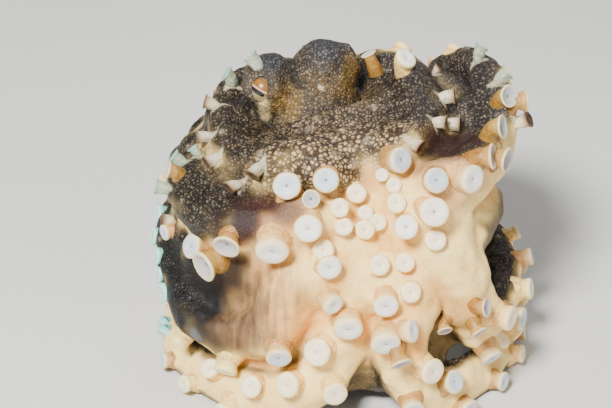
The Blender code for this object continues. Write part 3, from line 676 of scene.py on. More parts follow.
@dataclass
class Camera:
    """The photograph's camera: where it stands, and what a millimetre measures in its picture."""

    elevation: float = 30.0
    distance: float = 420.0
    pixel: float = 0.245
    aim: tuple[float, float, float] = (0.0, 0.0, 36.0)
    sensor: float = 36.0
    clip: tuple[float, float] = (0.02, 20.0)

    def __post_init__(self) -> None:
        """Work out the camera's axes and place, in the solids' own frame."""
        lift = math.radians(self.elevation)
        self.ahead = np.array([0, math.cos(lift), -math.sin(lift)])
        self.upward = np.array([0, math.sin(lift), math.cos(lift)])
        self.right = np.array([1.0, 0, 0])
        aside = (AIM_COLUMN - PHOTO_WIDTH / 2) * self.pixel
        above = (AIM_ROW - PHOTO_HEIGHT / 2) * self.pixel
        self.place = (np.array(self.aim) - self.ahead * self.distance - self.right * aside
                      + self.upward * above)

    def pixels(self, points: Array) -> Array:
        """Where the photograph's frame shows points.

        Args:
            points: Points in the solids' frame, one row each.

        Returns:
            Column, row and depth of each point.
        """
        away = np.atleast_2d(points) - self.place
        depth = away @ self.ahead
        scale = self.distance / self.pixel / depth
        return np.stack([PHOTO_WIDTH / 2 + (away @ self.right) * scale,
                         PHOTO_HEIGHT / 2 - (away @ self.upward) * scale, depth], axis=1)

    def turned(self, right: float, upward: float, toward: float) -> Array:
        """A direction given as seen in the picture, in the solids' frame."""
        return unit(self.right * right + self.upward * upward - self.ahead * toward)

    def build(self, shift: Array) -> None:
        """Set the camera up, moved with the model."""
        data = bpy.data.cameras.new("photograph")
        data.sensor_width = self.sensor
        data.lens = self.sensor * self.distance / (PHOTO_WIDTH * self.pixel)
        data.clip_start, data.clip_end = self.clip
        camera = bpy.data.objects.new("photograph", data)
        camera.location = Vector((self.place + shift) * MM)
        camera.rotation_euler = (math.radians(90 - self.elevation), 0, 0)
        bpy.context.scene.collection.objects.link(camera)
        bpy.context.scene.camera = camera


@dataclass
class Web:
    """A thin sheet of skin between two arms, as in the solids."""

    first: Arm
    second: Arm
    reach_first: float
    reach_second: float
    bulge: tuple[float, float, float]
    root: float = 6.0
    hollow: float = 0.15
    back: float = 0.45
    thick: float = 2.4
    spacing: float = 1.0
    measured_at: float = 0.4
    fewest: int = 8

    def points(self) -> Array:
        """Points spread over the sheet, a spacing apart or less."""
        span = np.linalg.norm(self.first.at(self.measured_at)[0] - self.second.at(self.measured_at)[0])
        across_count = max(self.fewest, int(span / self.spacing) + self.fewest // 2)
        along_count = int(max(self.reach_first, self.reach_second) / self.spacing)
        rows = []
        for across in np.linspace(0, 1, across_count):
            middle = math.sin(math.pi * across)
            for along in np.linspace(0, 1, along_count):
                drawn = along * (1 - self.hollow * middle)
                ends = []
                for arm, reach in ((self.first, self.reach_first), (self.second, self.reach_second)):
                    place, _, face, _, radius = arm.at((self.root + (reach - self.root) * drawn) / arm.length)
                    ends.append(place - face * radius * self.back)
                point = ends[0] * (1 - across) + ends[1] * across
                rows.append(point + np.array(self.bulge) * middle * along)
        return np.array(rows)


@dataclass
class EyeSocket:
    """An eye in its brow, with the lids round it.

    The radius and the lids' sizes are in millimetres. The slant, drop, half width and middle of the slit are
    shares of the radius, on the front of the ball.
    """

    brow: Spec
    look: tuple[float, float, float]
    out: float
    radius: float = 3.8
    around: int = 96
    down: int = 72
    pole: float = 0.012
    cornea: float = 0.05
    slant: float = 0.42
    drop: float = -0.18
    slit: float = 0.17
    aside: float = 0.14
    amber: str = "#87560c"
    brown: str = "#5d5148"
    rim: str = "#dcae98"
    lower: str = "#9c8d62"
    dark: str = "#0b0908"
    lid: float = 0.75
    lid_forward: float = 2.3
    lid_ring: tuple[float, float] = (3.1 * 1.08, 3.1 * 0.86)
    lid_points: int = 40
    gap: float = 1.4
    gap_tall: float = 1.6
    gap_points: tuple[int, int] = (16, 7)

    def __post_init__(self) -> None:
        """Work out the eye's middle and its axes."""
        self.ahead = unit(self.look)
        self.middle = np.array(self.brow[0]) + self.ahead * self.out
        self.across = unit(np.cross(self.ahead, (0, 0, 1)))
        self.upward = np.cross(self.across, self.ahead)

    def lid_line(self) -> Array:
        """Points along the rim of skin round the eye."""
        turns = np.arange(self.lid_points) * 2 * math.pi / self.lid_points
        wide, high = self.lid_ring
        return (self.middle + self.ahead * self.lid_forward + np.cos(turns)[:, None] * self.across * wide
                + np.sin(turns)[:, None] * self.upward * high)

    def opening(self) -> Array:
        """Points through the gap between the lids, which lets the eye be seen."""
        deep, tall = self.gap_points
        ahead = np.linspace(0.0, 2.2 * self.radius, deep)[:, None] * self.ahead
        leaning = self.upward - self.slant * 0.3 * self.across
        rise = np.linspace(-self.gap_tall, self.gap_tall, tall)[:, None] * leaning
        return (self.middle + ahead[:, None] + rise[None]).reshape(-1, 3)

    def ball(self, name: str, shift: Array) -> bpy.types.Object:
        """Make the eyeball, with its iris and slit pupil painted on it.

        Args:
            name: The piece's name.
            shift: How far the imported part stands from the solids' own frame.

        Returns:
            The new piece.
        """
        lift = np.linspace(self.pole, math.pi - self.pole, self.down)
        turns = np.arange(self.around) * 2 * math.pi / self.around
        front = np.cos(lift)[:, None] * np.ones(self.around)
        one = np.sin(lift)[:, None] * np.cos(turns)
        two = np.sin(lift)[:, None] * np.sin(turns)
        bulge = 1 + self.cornea * ease(front, 0.75, 1.0)
        local = np.stack([front * bulge, one, two], axis=2).reshape(-1, 3) * self.radius
        points = self.middle + local @ np.stack([self.ahead, self.across, self.upward])
        numbers = np.arange(self.around * self.down).reshape(self.down, self.around)
        beside = np.roll(numbers, -1, axis=1)
        quads = np.stack([numbers[:-1], numbers[1:], beside[1:], beside[:-1]], axis=2).reshape(-1, 4)
        obj = make_mesh(name, points + shift, quads, numbers[:1].copy(), numbers[-1:, ::-1].copy())
        paint(obj, "tint", self.tints(one.ravel(), two.ravel(), front.ravel() > 0))
        return obj

    def tints(self, u: Array, v: Array, shows: Array) -> Array:
        """Colour the ball: a brown and amber iris over a dark slit, with a pale rim between them.

        Args:
            u: How far each corner is across the front, as a share of the radius.
            v: How far each corner is upwards, as a share of the radius.
            shows: Whether each corner is on the front.

        Returns:
            The linear colour of each corner.
        """
        amber, brown, rim, lower, dark = (
            np.array(linear(tint)[:3]) for tint in (self.amber, self.brown, self.rim, self.lower, self.dark))
        slanted = v - self.slant * u - self.drop
        flecks = np.array([noise.noise(Vector((x * 3, y * 14, 3.0))) for x, y in zip(u, v)])
        colour = np.tile(lower, (len(u), 1))
        iris = ease(slanted, 0.0, 0.1) * shows
        glow = amber * (1 + 0.5 * flecks[:, None])
        glow += (brown - glow) * ease(v - 0.3 * u, 0.5, 0.8)[:, None]
        colour += (glow - colour) * iris[:, None]
        lash = ease(-np.abs(slanted - self.slit - 0.05), -0.1, -0.02) * shows
        colour += (rim - colour) * 0.85 * lash[:, None]
        narrow = 0.3 * ease(np.abs(u - self.aside), 0.3, 0.65)
        slit = ease(self.slit - np.abs(slanted) - narrow, -0.02, 0.03) * shows
        colour += (dark - colour) * slit[:, None]
        under_lids = ease(np.hypot(u, v), 0.78, 0.9)
        colour += (dark * 6 - colour) * under_lids[:, None]
        return np.clip(colour, 0, 1)


@dataclass(frozen=True)
class WetEye:
    """Cornea over an amber iris: clear and wet, so the eye sees a sharp highlight over the colour.

    Grain is in waves for each metre.
    """

    grain: float = 2600.0
    roughness: float = 0.35
    coat: float = 0.3
    coat_roughness: float = 0.1

    def build(self) -> bpy.types.Material:
        """Make the material."""
        material, tree, shader, place = new_material("wet_eye")
        tint = add_node(tree, "Attribute", attribute_name="tint").outputs["Color"]
        grain = add_node(tree, "TexNoise", {"Vector": place, "Scale": self.grain, "Detail": 3.0}).outputs[0]
        tone = add_node(tree, "MapRange", {0: grain, 3: 0.75, 4: 1.25}).outputs[0]
        shaded = add_node(tree, "Mix", {0: 1.0, 6: tint, 7: tone}, **MULTIPLIED).outputs[2]
        tree.links.new(shaded, shader.inputs["Base Color"])
        shader.inputs["Roughness"].default_value = self.roughness
        shader.inputs["Coat Weight"].default_value = self.coat
        shader.inputs["Coat Roughness"].default_value = self.coat_roughness
        return material


@dataclass(frozen=True)
class SuckerFlesh:
    """Sucker flesh: muscle under a thin clear cuticle, so pale discs look milky and a little translucent.

    Mottle, folds and pores are in waves for each metre, and depth is in metres.
    """

    mottle: float = 700.0
    folds: float = 520.0
    pores: float = 1800.0
    roughness: float = 0.45
    translucence: float = 0.35
    depth: float = 0.0015
    depths: tuple[float, float, float] = (1.0, 0.7, 0.5)
    fold: str = "#b98a5c"

    def build(self) -> bpy.types.Material:
        """Make the material."""
        material, tree, shader, place = new_material("sucker_flesh")
        tint = add_node(tree, "Attribute", attribute_name="tint").outputs["Color"]
        stalk = add_node(tree, "Attribute", attribute_name="stalk").outputs["Fac"]
        mottle = add_node(tree, "TexNoise", {"Vector": place, "Scale": self.mottle, "Detail": 4.0}).outputs[0]
        tone = add_node(tree, "MapRange", {0: mottle, 1: 0.3, 2: 0.7, 3: 0.9, 4: 1.05}).outputs[0]
        shaded = add_node(tree, "Mix", {0: 1.0, 6: tint, 7: tone}, **MULTIPLIED).outputs[2]
        folds = add_node(tree, "TexNoise",
                         {"Vector": place, "Scale": self.folds, "Detail": 4.0, "Distortion": 1.5}).outputs[0]
        deep = add_node(tree, "MapRange", {0: folds, 1: 0.45, 2: 0.65, 3: 0.0, 4: 0.5}).outputs[0]
        deep = add_node(tree, "Math", {0: deep, 1: stalk}, **TIMES).outputs[0]
        shaded = add_node(tree, "Mix", {0: deep, 6: shaded, 7: linear(self.fold)}, **MULTIPLIED).outputs[2]
        tree.links.new(shaded, shader.inputs["Base Color"])
        shader.inputs["Roughness"].default_value = self.roughness
        shader.inputs["Subsurface Weight"].default_value = self.translucence
        shader.inputs["Subsurface Radius"].default_value = self.depths
        shader.inputs["Subsurface Scale"].default_value = self.depth
        pores = add_node(tree, "TexNoise", {"Vector": place, "Scale": self.pores, "Detail": 2.0}).outputs[0]
        folds = add_node(tree, "Math", {0: folds, 1: stalk}, **TIMES).outputs[0]
        height = add_node(tree, "Math", {0: folds, 1: 4.0, 2: pores}, **TIMES_PLUS).outputs[0]
        bump = add_node(tree, "Bump", {"Strength": 0.4, "Distance": 0.0003, "Height": height})
        tree.links.new(bump.outputs["Normal"], shader.inputs["Normal"])
        return material


@dataclass
class Flesh:
    """The animal's soft form: arms, webs and crown blended with the head and mantle."""

    arms: dict[str, Arm]
    low: Array
    high: Array
    step: float = 0.6
    arm_blend: float = 1.3
    body_blend: float = 1.0
    crease: float = 0.35
    clamp: tuple[float, float] = (-20, 8)
    margin: float = 3.0
    floor: float = 0.02
    smoothing: int = 2
    line_points: int = 30
    fill_points: int = 40
    mouth_ahead: float = 6.0
    mouth_points: int = 20
    pull: float = 0.5
    rests: tuple[float, float] = (0.6, 3.0)
    rolls: tuple[tuple[float, float], ...] = ((6.0, 0.8), (2.8, 0.42))

    def build(self) -> tuple[Array, Array]:
        """Blend the forms and draw their surface.

        Returns:
            The surface's corners and faces.
        """
        low, high = self.low - self.margin, self.high + self.margin
        limbs = Field(low, high, self.step, self.arm_blend)
        for arm in self.arms.values():
            limbs.add_arm(arm, np.ones(len(arm.line)))
        for first, second, reach_first, reach_second, bulge in WEBS:
            web = Web(self.arms[first], self.arms[second], reach_first, reach_second, bulge)
            points = web.points()
            limbs.add_balls(points, np.full(len(points), web.thick / 2))
        for spec in (CROWN, BAND):
            limbs.add_ellipsoid(spec)
        for line, radius in FILLS:
            balls = smooth_line(line, self.fill_points)
            limbs.add_balls(balls, np.full(len(balls), radius))
        trunk = Field(low, high, self.step, self.body_blend)
        for spec in (NECK, HEAD, BROW_NEAR, BROW_FAR):
            trunk.add_ellipsoid(spec)
        for line, sizes in ((MANTLE_LINE, MANTLE_RADII), (SIPHON_LINE, SIPHON_RADII)):
            trunk.add_balls(smooth_line(line, self.line_points), sizes_along(sizes, self.line_points))
        sockets = [EyeSocket(*eye) for eye in EYES.values()]
        for socket in sockets:
            lids = socket.lid_line()
            trunk.add_balls(lids, np.full(len(lids), socket.lid))
        self.limb_values = limbs.distances()
        self.trunk_values = trunk.distances()
        self.limbs = limbs
        both = -self.crease * np.log(sum(np.exp(-np.clip(values, *self.clamp) / self.crease)
                                         for values in (self.limb_values, self.trunk_values)))
        bore = Field(low, high, self.step, self.crease)
        tube = smooth_line(SIPHON_LINE, self.line_points)
        depths = np.linspace(-SIPHON_DEEP, self.mouth_ahead, self.mouth_points)[:, None]
        mouth = tube[-1] + unit(tube[-1] - tube[-2]) * depths
        bore.add_balls(mouth, np.full(len(mouth), SIPHON_BORE))
        for socket in sockets:
            gap = socket.opening()
            bore.add_balls(gap, np.full(len(gap), socket.gap))
        both = np.maximum(both, -bore.distances())
        height = limbs.axes[2][None, None, :]
        both = np.maximum(both, self.floor - height)
        points, faces = surface_of(both.astype(np.float32), low, self.step)
        points = relaxed(points, faces, self.smoothing, self.pull)
        return self.rolling(points, normals_of(points, faces)), faces

    def rolling(self, points: Array, normals: Array) -> Array:
        """Let the skin rise and sink a little, as soft flesh does, but not where it rests."""
        free = ease(points[:, 2], *self.rests)
        for size, height in self.rolls:
            wave = np.array([noise.noise(Vector(point)) for point in points / size])
            points = points + normals * (wave * height * free)[:, None]
        return points


# Suckers


class Kind(Enum):
    """How a sucker is coloured."""

    PALE = "pale"
    IVORY = "ivory"
    MILKY = "milky"
    AMBER = "amber"
    CREAM = "cream"
    AQUA = "aqua"
    SCALLOP = "scallop"


@dataclass(frozen=True)
class Cup:
    """A sucker that the photograph shows, by where its disc is seen and the way that it looks there.

    Column, row and width are in the photograph's pixels, and look is to the right, up and towards the camera.
    Tall is the height of its stalk in widths, and slit is how far its mouth is drawn together, from 0 to 1.
    """

    kind: Kind
    tall: float
    column: float
    row: float
    width: float
    look: tuple[float, float, float] = (0.0, 0.0, 1.0)
    slit: float = 0.0


# Suckers that the photograph shows: a kind and how tall, then column, row, width, look and slit of each
SHOWN_CUPS = [Cup(kind, tall, *cup) for kind, tall, *cups in (
    (Kind.PALE, 0.3, (325, 181, 24, (0.0, 0.1, 1.0)), (282, 189, 26, (-0.15, 0.0, 1.0)),
     (400, 160, 25, (0.6, 0.0, 0.8)), (433, 181, 24, (0.35, 0.1, 0.9))),
    (Kind.IVORY, 0.3, (471, 180, 27, (0.65, -0.2, 0.75), 0.4), (436, 212, 28, (0.15, 0.0, 1.0)),
     (408, 230, 23), (308, 229, 26, (-0.1, -0.1, 1.0)), (271, 249, 31, (0.0, -0.68, 0.72), 0.8)),
    (Kind.AMBER, 0.22, (227, 247, 27, (-0.3, -0.72, 0.62), 0.5)),
    (Kind.AMBER, 0.35, (204, 266, 31, (-0.72, -0.42, 0.5), 0.6)),
    (Kind.PALE, 0.3, (192, 246, 24, (-0.7, 0.1, 0.7))),
    (Kind.IVORY, 0.3, (330, 268, 23, (0.25, -0.3, 1.0), 0.6)),
    (Kind.IVORY, 0.4, (331, 306, 21, (0.5, -0.5, 0.65))),
    (Kind.IVORY, 0.3, (349, 328, 28, (0.0, -0.66, 0.75), 0.7), (387, 345, 28, (0.1, -0.7, 0.7), 0.7),
     (412, 330, 22, (0.8, 0.1, 0.5))),
    (Kind.AMBER, 0.8, (401, 363, 22, (0.3, -0.85, 0.3))),
    (Kind.IVORY, 0.3, (384, 303, 24, (0.0, -0.5, 0.85))),
    (Kind.MILKY, 0.15, (378, 222, 17), (366, 212, 15), (362, 229, 19), (343, 228, 17), (339, 208, 18),
     (356, 192, 19), (397, 202, 19), (381, 173, 13), (437, 240, 20)),
    (Kind.AMBER, 0.12, (306, 196, 17)),
    (Kind.MILKY, 0.15, (321, 249, 20), (394, 184, 15), (380, 268, 20), (405, 262, 19), (412, 292, 20)),
    (Kind.AMBER, 0.42, (489, 151, 24, (0.9, 0.05, 0.35)), (507, 160, 24, (0.85, -0.25, 0.45)),
     (506, 131, 23, (0.88, 0.05, 0.45))),
    (Kind.CREAM, 0.6, (526, 122, 17.9, (0.8, 0.35, 0.45))),
    (Kind.AMBER, 0.5, (512, 96, 22, (0.55, 0.05, 0.8))),
    (Kind.AMBER, 0.42, (526, 104, 21, (0.95, 0.1, -0.2))),
    (Kind.AQUA, 0.7, (507, 71, 15.6, (0.8, 0.55, 0.1)), (482, 47, 15.6, (0.55, 0.8, 0.1))),
    (Kind.CREAM, 0.6, (439, 68, 10.1, (0.6, 0.5, 0.2))),
    (Kind.CREAM, 0.7, (455, 95, 15.6, (0.95, 0.1, 0.15))),
    (Kind.CREAM, 0.6, (446, 123, 14, (0.9, -0.1, 0.25))),
    (Kind.CREAM, 0.7, (460, 124, 15.6, (0.95, -0.05, 0.2))),
    (Kind.CREAM, 0.6, (421, 147, 14, (0.7, -0.5, 0.35))),
    (Kind.AMBER, 1.1, (367, 55, 16, (-0.4, 0.85, 0.3))),
    (Kind.IVORY, 0.3, (401, 60, 22, (0.45, 0.5, 0.7))),
    (Kind.AMBER, 0.42, (486, 309, 18, (0.85, 0.0, 0.5)), (478, 333, 18, (0.5, -0.8, 0.3)),
     (446, 331, 15, (0.2, -0.8, 0.4))),
    (Kind.AQUA, 0.7, (249, 58, 15.6, (-0.65, 0.7, 0.1)), (228, 74, 15.6, (-0.8, 0.5, 0.3))),
    (Kind.CREAM, 0.7, (205, 101, 14, (-0.95, 0.25, 0.15)), (198, 137, 14, (-0.95, -0.1, 0.15)),
     (206, 163, 14.8, (-0.8, -0.5, 0.3)), (252, 177, 14.8, (-0.5, -0.8, 0.3)),
     (229, 189, 15.6, (-0.7, -0.65, 0.3))),
    (Kind.AQUA, 0.7, (192, 148, 11.7, (-0.6, 0.7, 0.2)), (174, 156, 15.6, (-0.8, 0.55, 0.2))),
    (Kind.AMBER, 0.42, (167, 171, 18, (-0.85, 0.2, 0.3))),
    (Kind.AQUA, 0.7, (157, 186, 15.6, (-0.95, 0.2, 0.1))),
    (Kind.CREAM, 0.7, (162, 221, 14, (-0.9, 0.1, 0.3))),
    (Kind.PALE, 0.3, (165, 233, 16, (-0.8, -0.3, 0.5))),
    (Kind.SCALLOP, 0.1, (149, 211, 19, (-0.88, 0.1, 0.45)), (149, 236, 18, (-0.88, 0.0, 0.45)),
     (150, 257, 18, (-0.88, 0.0, 0.45)), (150, 275, 17, (-0.88, 0.0, 0.45)),
     (150, 292, 17, (-0.88, -0.1, 0.45)), (150, 309, 20, (-0.85, -0.2, 0.45)),
     (155, 323, 19, (-0.75, -0.45, 0.4)), (165, 333, 20, (-0.6, -0.7, 0.35))),
) for cup in cups]

# Suckers that the photograph shows from behind, with ragged rims, each standing in a pale patch of skin
TEETH = (Kind.CREAM, Kind.AQUA)

# The photograph shows the animal above this border, and nothing below it: columns and rows
BORDER_COLUMNS = [140, 160, 250, 330, 345, 400, 435, 492, 515, 540]
BORDER_ROWS = [300, 338, 347, 345, 370, 375, 340, 335, 160, 150]

# Outlines of a sucker from its stalk to its middle: radius, height above its disc and colour zone, in widths
BUTTON = (
    (0.43, -0.30, 0.3), (0.455, -0.19, 0.7), (0.48, -0.11, 1.0), (0.498, -0.03, 1.3), (0.492, 0.035, 1.7),
    (0.462, 0.08, 2.1), (0.41, 0.105, 2.5), (0.33, 0.11, 2.9), (0.24, 0.10, 3.0), (0.15, 0.085, 3.0),
    (0.08, 0.07, 3.05), (0.045, 0.052, 3.4), (0.018, 0.02, 4.0),
)
CUPPED = (
    (0.35, -0.36, 0.2), (0.365, -0.26, 0.5), (0.40, -0.17, 0.9), (0.435, -0.12, 1.0), (0.44, -0.09, 0.6),
    (0.475, -0.05, 1.2), (0.497, 0.0, 1.8), (0.485, 0.045, 2.0), (0.44, 0.06, 2.3), (0.385, 0.025, 2.8),
    (0.30, -0.03, 3.0), (0.2, -0.065, 3.0), (0.1, -0.085, 3.1), (0.05, -0.10, 3.5), (0.018, -0.14, 4.0),
)
TRUMPET = (
    (0.40, -0.13, 0.7), (0.45, -0.075, 1.0), (0.485, -0.03, 1.4), (0.5, 0.01, 1.8), (0.48, 0.04, 2.1),
    (0.43, 0.045, 2.4), (0.36, 0.02, 2.8), (0.27, -0.02, 3.0), (0.17, -0.05, 3.0), (0.09, -0.07, 3.1),
    (0.05, -0.08, 3.5), (0.018, -0.11, 4.0),
)


@dataclass(frozen=True)
class CupForm:
    """The form and colours of one kind of sucker.

    Root, waist and lift are in widths: the stalk's radius at the skin and below the disc, and how far the
    skin swells under it. The colours are those of the stalk, the underside, the rim, the disc and the middle.
    """

    outline: tuple[tuple[float, float, float], ...]
    root: float
    waist: float
    lift: float
    colours: tuple[str, str, str, str, str]


CUP_FORMS = {
    # PALE: the discs' bluish grey is painted light, the cool cast of the light on them
    Kind.PALE: CupForm(BUTTON, 0.6, 0.43, 0.22, ("#c4924e", "#dcb878", "#ebd8ac", "#c6cdd3", "#85868a")),
    Kind.IVORY: CupForm(BUTTON, 0.62, 0.44, 0.24, ("#eebf74", "#f5d08a", "#fbe3ac", "#efece0", "#b0a58c")),
    Kind.MILKY: CupForm(BUTTON, 0.64, 0.45, 0.2, ("#fdd27c", "#ffda8c", "#ffe6ac", "#faebc6", "#dcc590")),
    Kind.AMBER: CupForm(CUPPED, 0.54, 0.4, 0.28, ("#a1742e", "#c49a50", "#ead4a2", "#b5adae", "#5a483c")),
    # CREAM: painted light and shade, a pale lit stalk and a brown underside, rim and disc in shade
    Kind.CREAM: CupForm(TRUMPET, 0.26, 0.4, 0.0, ("#d6ceb2", "#a88f66", "#684e34", "#4c3c2d", "#2c231b")),
    # AQUA and SCALLOP: the turquoise of their stalks, rims and discs is a painted sheen
    Kind.AQUA: CupForm(TRUMPET, 0.26, 0.4, 0.0, ("#b4bea2", "#a3b796", "#86bda8", "#93a99b", "#4b5f57")),
    Kind.SCALLOP: CupForm(BUTTON, 0.5, 0.42, 0.05, ("#7ec4b4", "#93dccd", "#a3e6d9", "#c4d8cf", "#84988f")),
}


@dataclass
class Stand:
    """Where one sucker stands: its root on the skin, the skin's direction there, and its disc."""

    root: Array
    out: Array
    look: Array
    width: float
    kind: Kind
    tall: float
    slit: float
    arm: str = ""
    clearance: float = 0.42

    @property
    def disc(self) -> Array:
        """The middle of the disc, lifted so that a sideways cup clears the skin."""
        aslant = float(np.linalg.norm(np.cross(self.look, self.out)))
        clear = 0.0 if self.kind is Kind.SCALLOP else self.clearance * aslant
        lift = CUP_FORMS[self.kind].lift
        return self.root + self.out * self.width * (clear + lift) + self.look * self.width * self.tall


class SkinFinder:
    """Finds the skin under a pixel of the photograph or near a point.

    Bin is the side of the square of pixels that one nearest depth is kept for, and edge counts such squares
    beyond the picture.
    """

    bin: int = 3
    edge: int = 20
    close: tuple[float, float] = (2.5, 1.2)

    def __init__(self, points: Array, normals: Array, camera: Camera) -> None:
        """Project the skin's corners once."""
        self.points = points
        self.normals = normals
        self.camera = camera
        self.seen = camera.pixels(points)
        cells = (self.seen[:, :2] / self.bin).astype(int) + self.edge
        self.wide = PHOTO_WIDTH // self.bin + 2 * self.edge
        inside = (cells >= 0).all(axis=1) & (cells < self.wide).all(axis=1)
        self.nearest = np.full((self.wide, self.wide), np.inf)
        np.minimum.at(self.nearest, (cells[inside, 0], cells[inside, 1]), self.seen[inside, 2])

    def under(self, column: float, row: float) -> int:
        """The number of the skin corner that the photograph shows at a pixel, or the nearest to it."""
        off = np.hypot(self.seen[:, 0] - column, self.seen[:, 1] - row)
        near = off < max(self.close[0], off.min() + self.close[1])
        return int(np.argmin(np.where(near, self.seen[:, 2], np.inf)))

    def shows(self, place: Array, slack: float = 2.0) -> bool:
        """Whether the camera sees a place, with nothing of the skin in front of it."""
        column, row, depth = self.camera.pixels(place)[0]
        i, j = int(column / self.bin) + self.edge, int(row / self.bin) + self.edge
        return depth < self.nearest[i, j] + slack if 0 <= i < self.wide and 0 <= j < self.wide else False

    def near(self, place: Array, reach: float) -> int | None:
        """The skin corner nearest a place, or None if none is within reach."""
        gaps = np.linalg.norm(self.points - place, axis=1)
        best = int(np.argmin(gaps))
        return best if gaps[best] < reach else None


@dataclass
class Suckers:
    """All the suckers: those that the photograph shows, then the rows of every arm's other stretches.

    Widths and the places along an arm are in millimetres and angles in degrees. The other lengths are in
    widths of the sucker.
    """

    arms: dict[str, Arm]
    finder: SkinFinder
    sides: int = 26
    root_width: float = 3.0
    large: float = 6.6
    tip_width: float = 1.5
    peak: float = 26.0
    row_turn: float = 34.0
    lean: float = 20.0
    one_row: float = 16.0
    start: float = 3.5
    steps: tuple[float, float] = (0.92, 1.25)
    crowding: float = 0.86
    stalk_rings: int = 4
    floor: float = 0.03
    tries: int = 4
    correction: float = 0.8
    varies: float = 0.06
    seat_reach: float = 2.2
    tall: float = 0.34
    narrowest: float = 0.25
    least_facing: float = 0.2
    off_floor: float = 0.35
    root_reach: float = 0.62
    root_edge: float = 2.6
    sunk: float = 0.25
    bend: float = 0.12
    pinch: tuple[float, float, float] = (0.5, 2.2, 1.8)
    dip: float = 0.03
    askew: tuple[float, float, float] = (0.31, 0.2, 0.93)
    tint_varies: float = 0.05
    torn: float = 3.0
    stalk_waves: float = 1.6
    waves: tuple[float, float] = (0.02, 0.012)
    patch: float = 0.46

    def shown(self) -> list[Stand]:
        """Stand the suckers that the photograph shows on the skin under them."""
        stands = []
        camera = self.finder.camera
        for cup in SHOWN_CUPS:
            look = camera.turned(*cup.look)
            width = cup.width * camera.pixel
            column, row = cup.column, cup.row
            for _ in range(self.tries):
                spot = self.finder.under(column, row)
                stand = Stand(self.finder.points[spot], self.finder.normals[spot], look, width, cup.kind,
                              cup.tall, cup.slit, self.arm_of(self.finder.points[spot]))
                seen = camera.pixels(stand.disc)[0]
                column += self.correction * (cup.column - seen[0])
                row += self.correction * (cup.row - seen[1])
            stands.append(stand)
        return stands

    def arm_of(self, place: Array) -> str:
        """The name of the arm whose middle line passes nearest a place."""
        gaps = {name: float((np.linalg.norm(arm.line - place, axis=1) - arm.radii).min())
                for name, arm in self.arms.items()}
        return min(gaps, key=gaps.get)

    def width_at(self, along: float, length: float) -> float:
        """A sucker's width at a distance along an arm."""
        if along < self.peak:
            grown = math.sin(along / self.peak * math.pi / 2)
            return self.root_width + (self.large - self.root_width) * grown
        return self.tip_width + (self.large - self.tip_width) * (length - along) / (length - self.peak)

    def rows(self, taken: list[Stand]) -> list[Stand]:
        """Stand two rows on every arm where the photograph shows none.

        Args:
            taken: The suckers that already stand.

        Returns:
            The new suckers.
        """
        rng = np.random.default_rng(SEED)
        stands = list(taken)
        for name, arm in self.arms.items():
            along, side = self.start, 1
            while along < arm.length - self.tip_width:
                size = self.width_at(along, arm.length)
                share = along / arm.length
                width = size * (1 + self.varies * rng.uniform(-1, 1))
                along += size * (self.steps[0] + (self.steps[1] - self.steps[0]) * share)
                side = -side
                place, _, face, beside, radius = arm.at(share)
                apart = self.narrowest + (1 - self.narrowest) * min(share * arm.length / self.one_row, 1)
                turn, lean = math.radians(self.row_turn * apart), math.radians(self.lean * apart)
                seat = place + radius * (face * math.cos(turn) * ARM.oral
                                         + beside * side * math.sin(turn) * ARM.wide)
                look = unit(face * math.cos(lean) + beside * side * math.sin(lean))
                spot = self.finder.near(seat, self.seat_reach)
                if spot is None or self.finder.normals[spot] @ look < self.least_facing:
                    continue
                kind = Kind.PALE if rng.uniform() < 0.5 else Kind.MILKY
                stand = Stand(self.finder.points[spot], self.finder.normals[spot], look, width, kind,
                              self.tall, max(0.0, rng.uniform(-1, 1)), name)
                column, row, _ = self.finder.camera.pixels(stand.disc)[0]
                hidden = row > np.interp(column, BORDER_COLUMNS, BORDER_ROWS)
                if not hidden and self.finder.shows(stand.disc):
                    continue
                if stand.disc[2] < width * self.off_floor:
                    continue
                gaps = [np.linalg.norm(other.disc - stand.disc) - (other.width + width) / 2 * self.crowding
                        for other in stands]
                if min(gaps) > 0:
                    stands.append(stand)
        return stands[len(taken):]

    def swell(self, points: Array, stands: list[Stand]) -> Array:
        """Raise the skin round the root of each sucker.

        Args:
            points: The skin's corners.
            stands: Where the suckers stand.

        Returns:
            The corners, moved outwards under the suckers.
        """
        raised = points.copy()
        for stand in stands:
            lift = CUP_FORMS[stand.kind].lift * stand.width
            if lift > 0:
                near = np.flatnonzero(np.abs(points - stand.root).max(axis=1) < stand.width * 1.3)
                away = np.linalg.norm(points[near] - stand.root, axis=1) / (stand.width * self.root_reach)
                raised[near] += stand.out * (lift * np.exp(-away ** self.root_edge))[:, None]
        return raised

    def rings(self, stand: Stand) -> list[tuple[Array, Array, float, float, float]]:
        """One sucker's rings from its root to its middle: centre, axis, radius, colour zone and pinch."""
        form = CUP_FORMS[stand.kind]
        disc, width = stand.disc, stand.width
        stem = disc + stand.look * form.outline[0][1] * width
        sunk = stand.root - stand.out * width * self.sunk
        bend = stand.root + stand.out * width * (self.bend + form.lift)
        drawn, zone_from, zones = self.pinch
        rings = []
        for i in range(self.stalk_rings):
            u = i / self.stalk_rings
            centre = sunk * (1 - u) ** 2 + 2 * bend * u * (1 - u) + stem * u * u
            axis = unit(stand.out * (1 - u) + stand.look * u)
            radius = form.root + (form.waist - form.root) * math.sin(u * math.pi / 2)
            rings.append((centre, axis, radius * width, 0.0, 0.0))
        for radius, height, zone in form.outline:
            pinch = stand.slit * drawn * max(0.0, zone - zone_from) / zones
            rings.append((disc + stand.look * height * width, stand.look, radius * width, zone, pinch))
        return rings

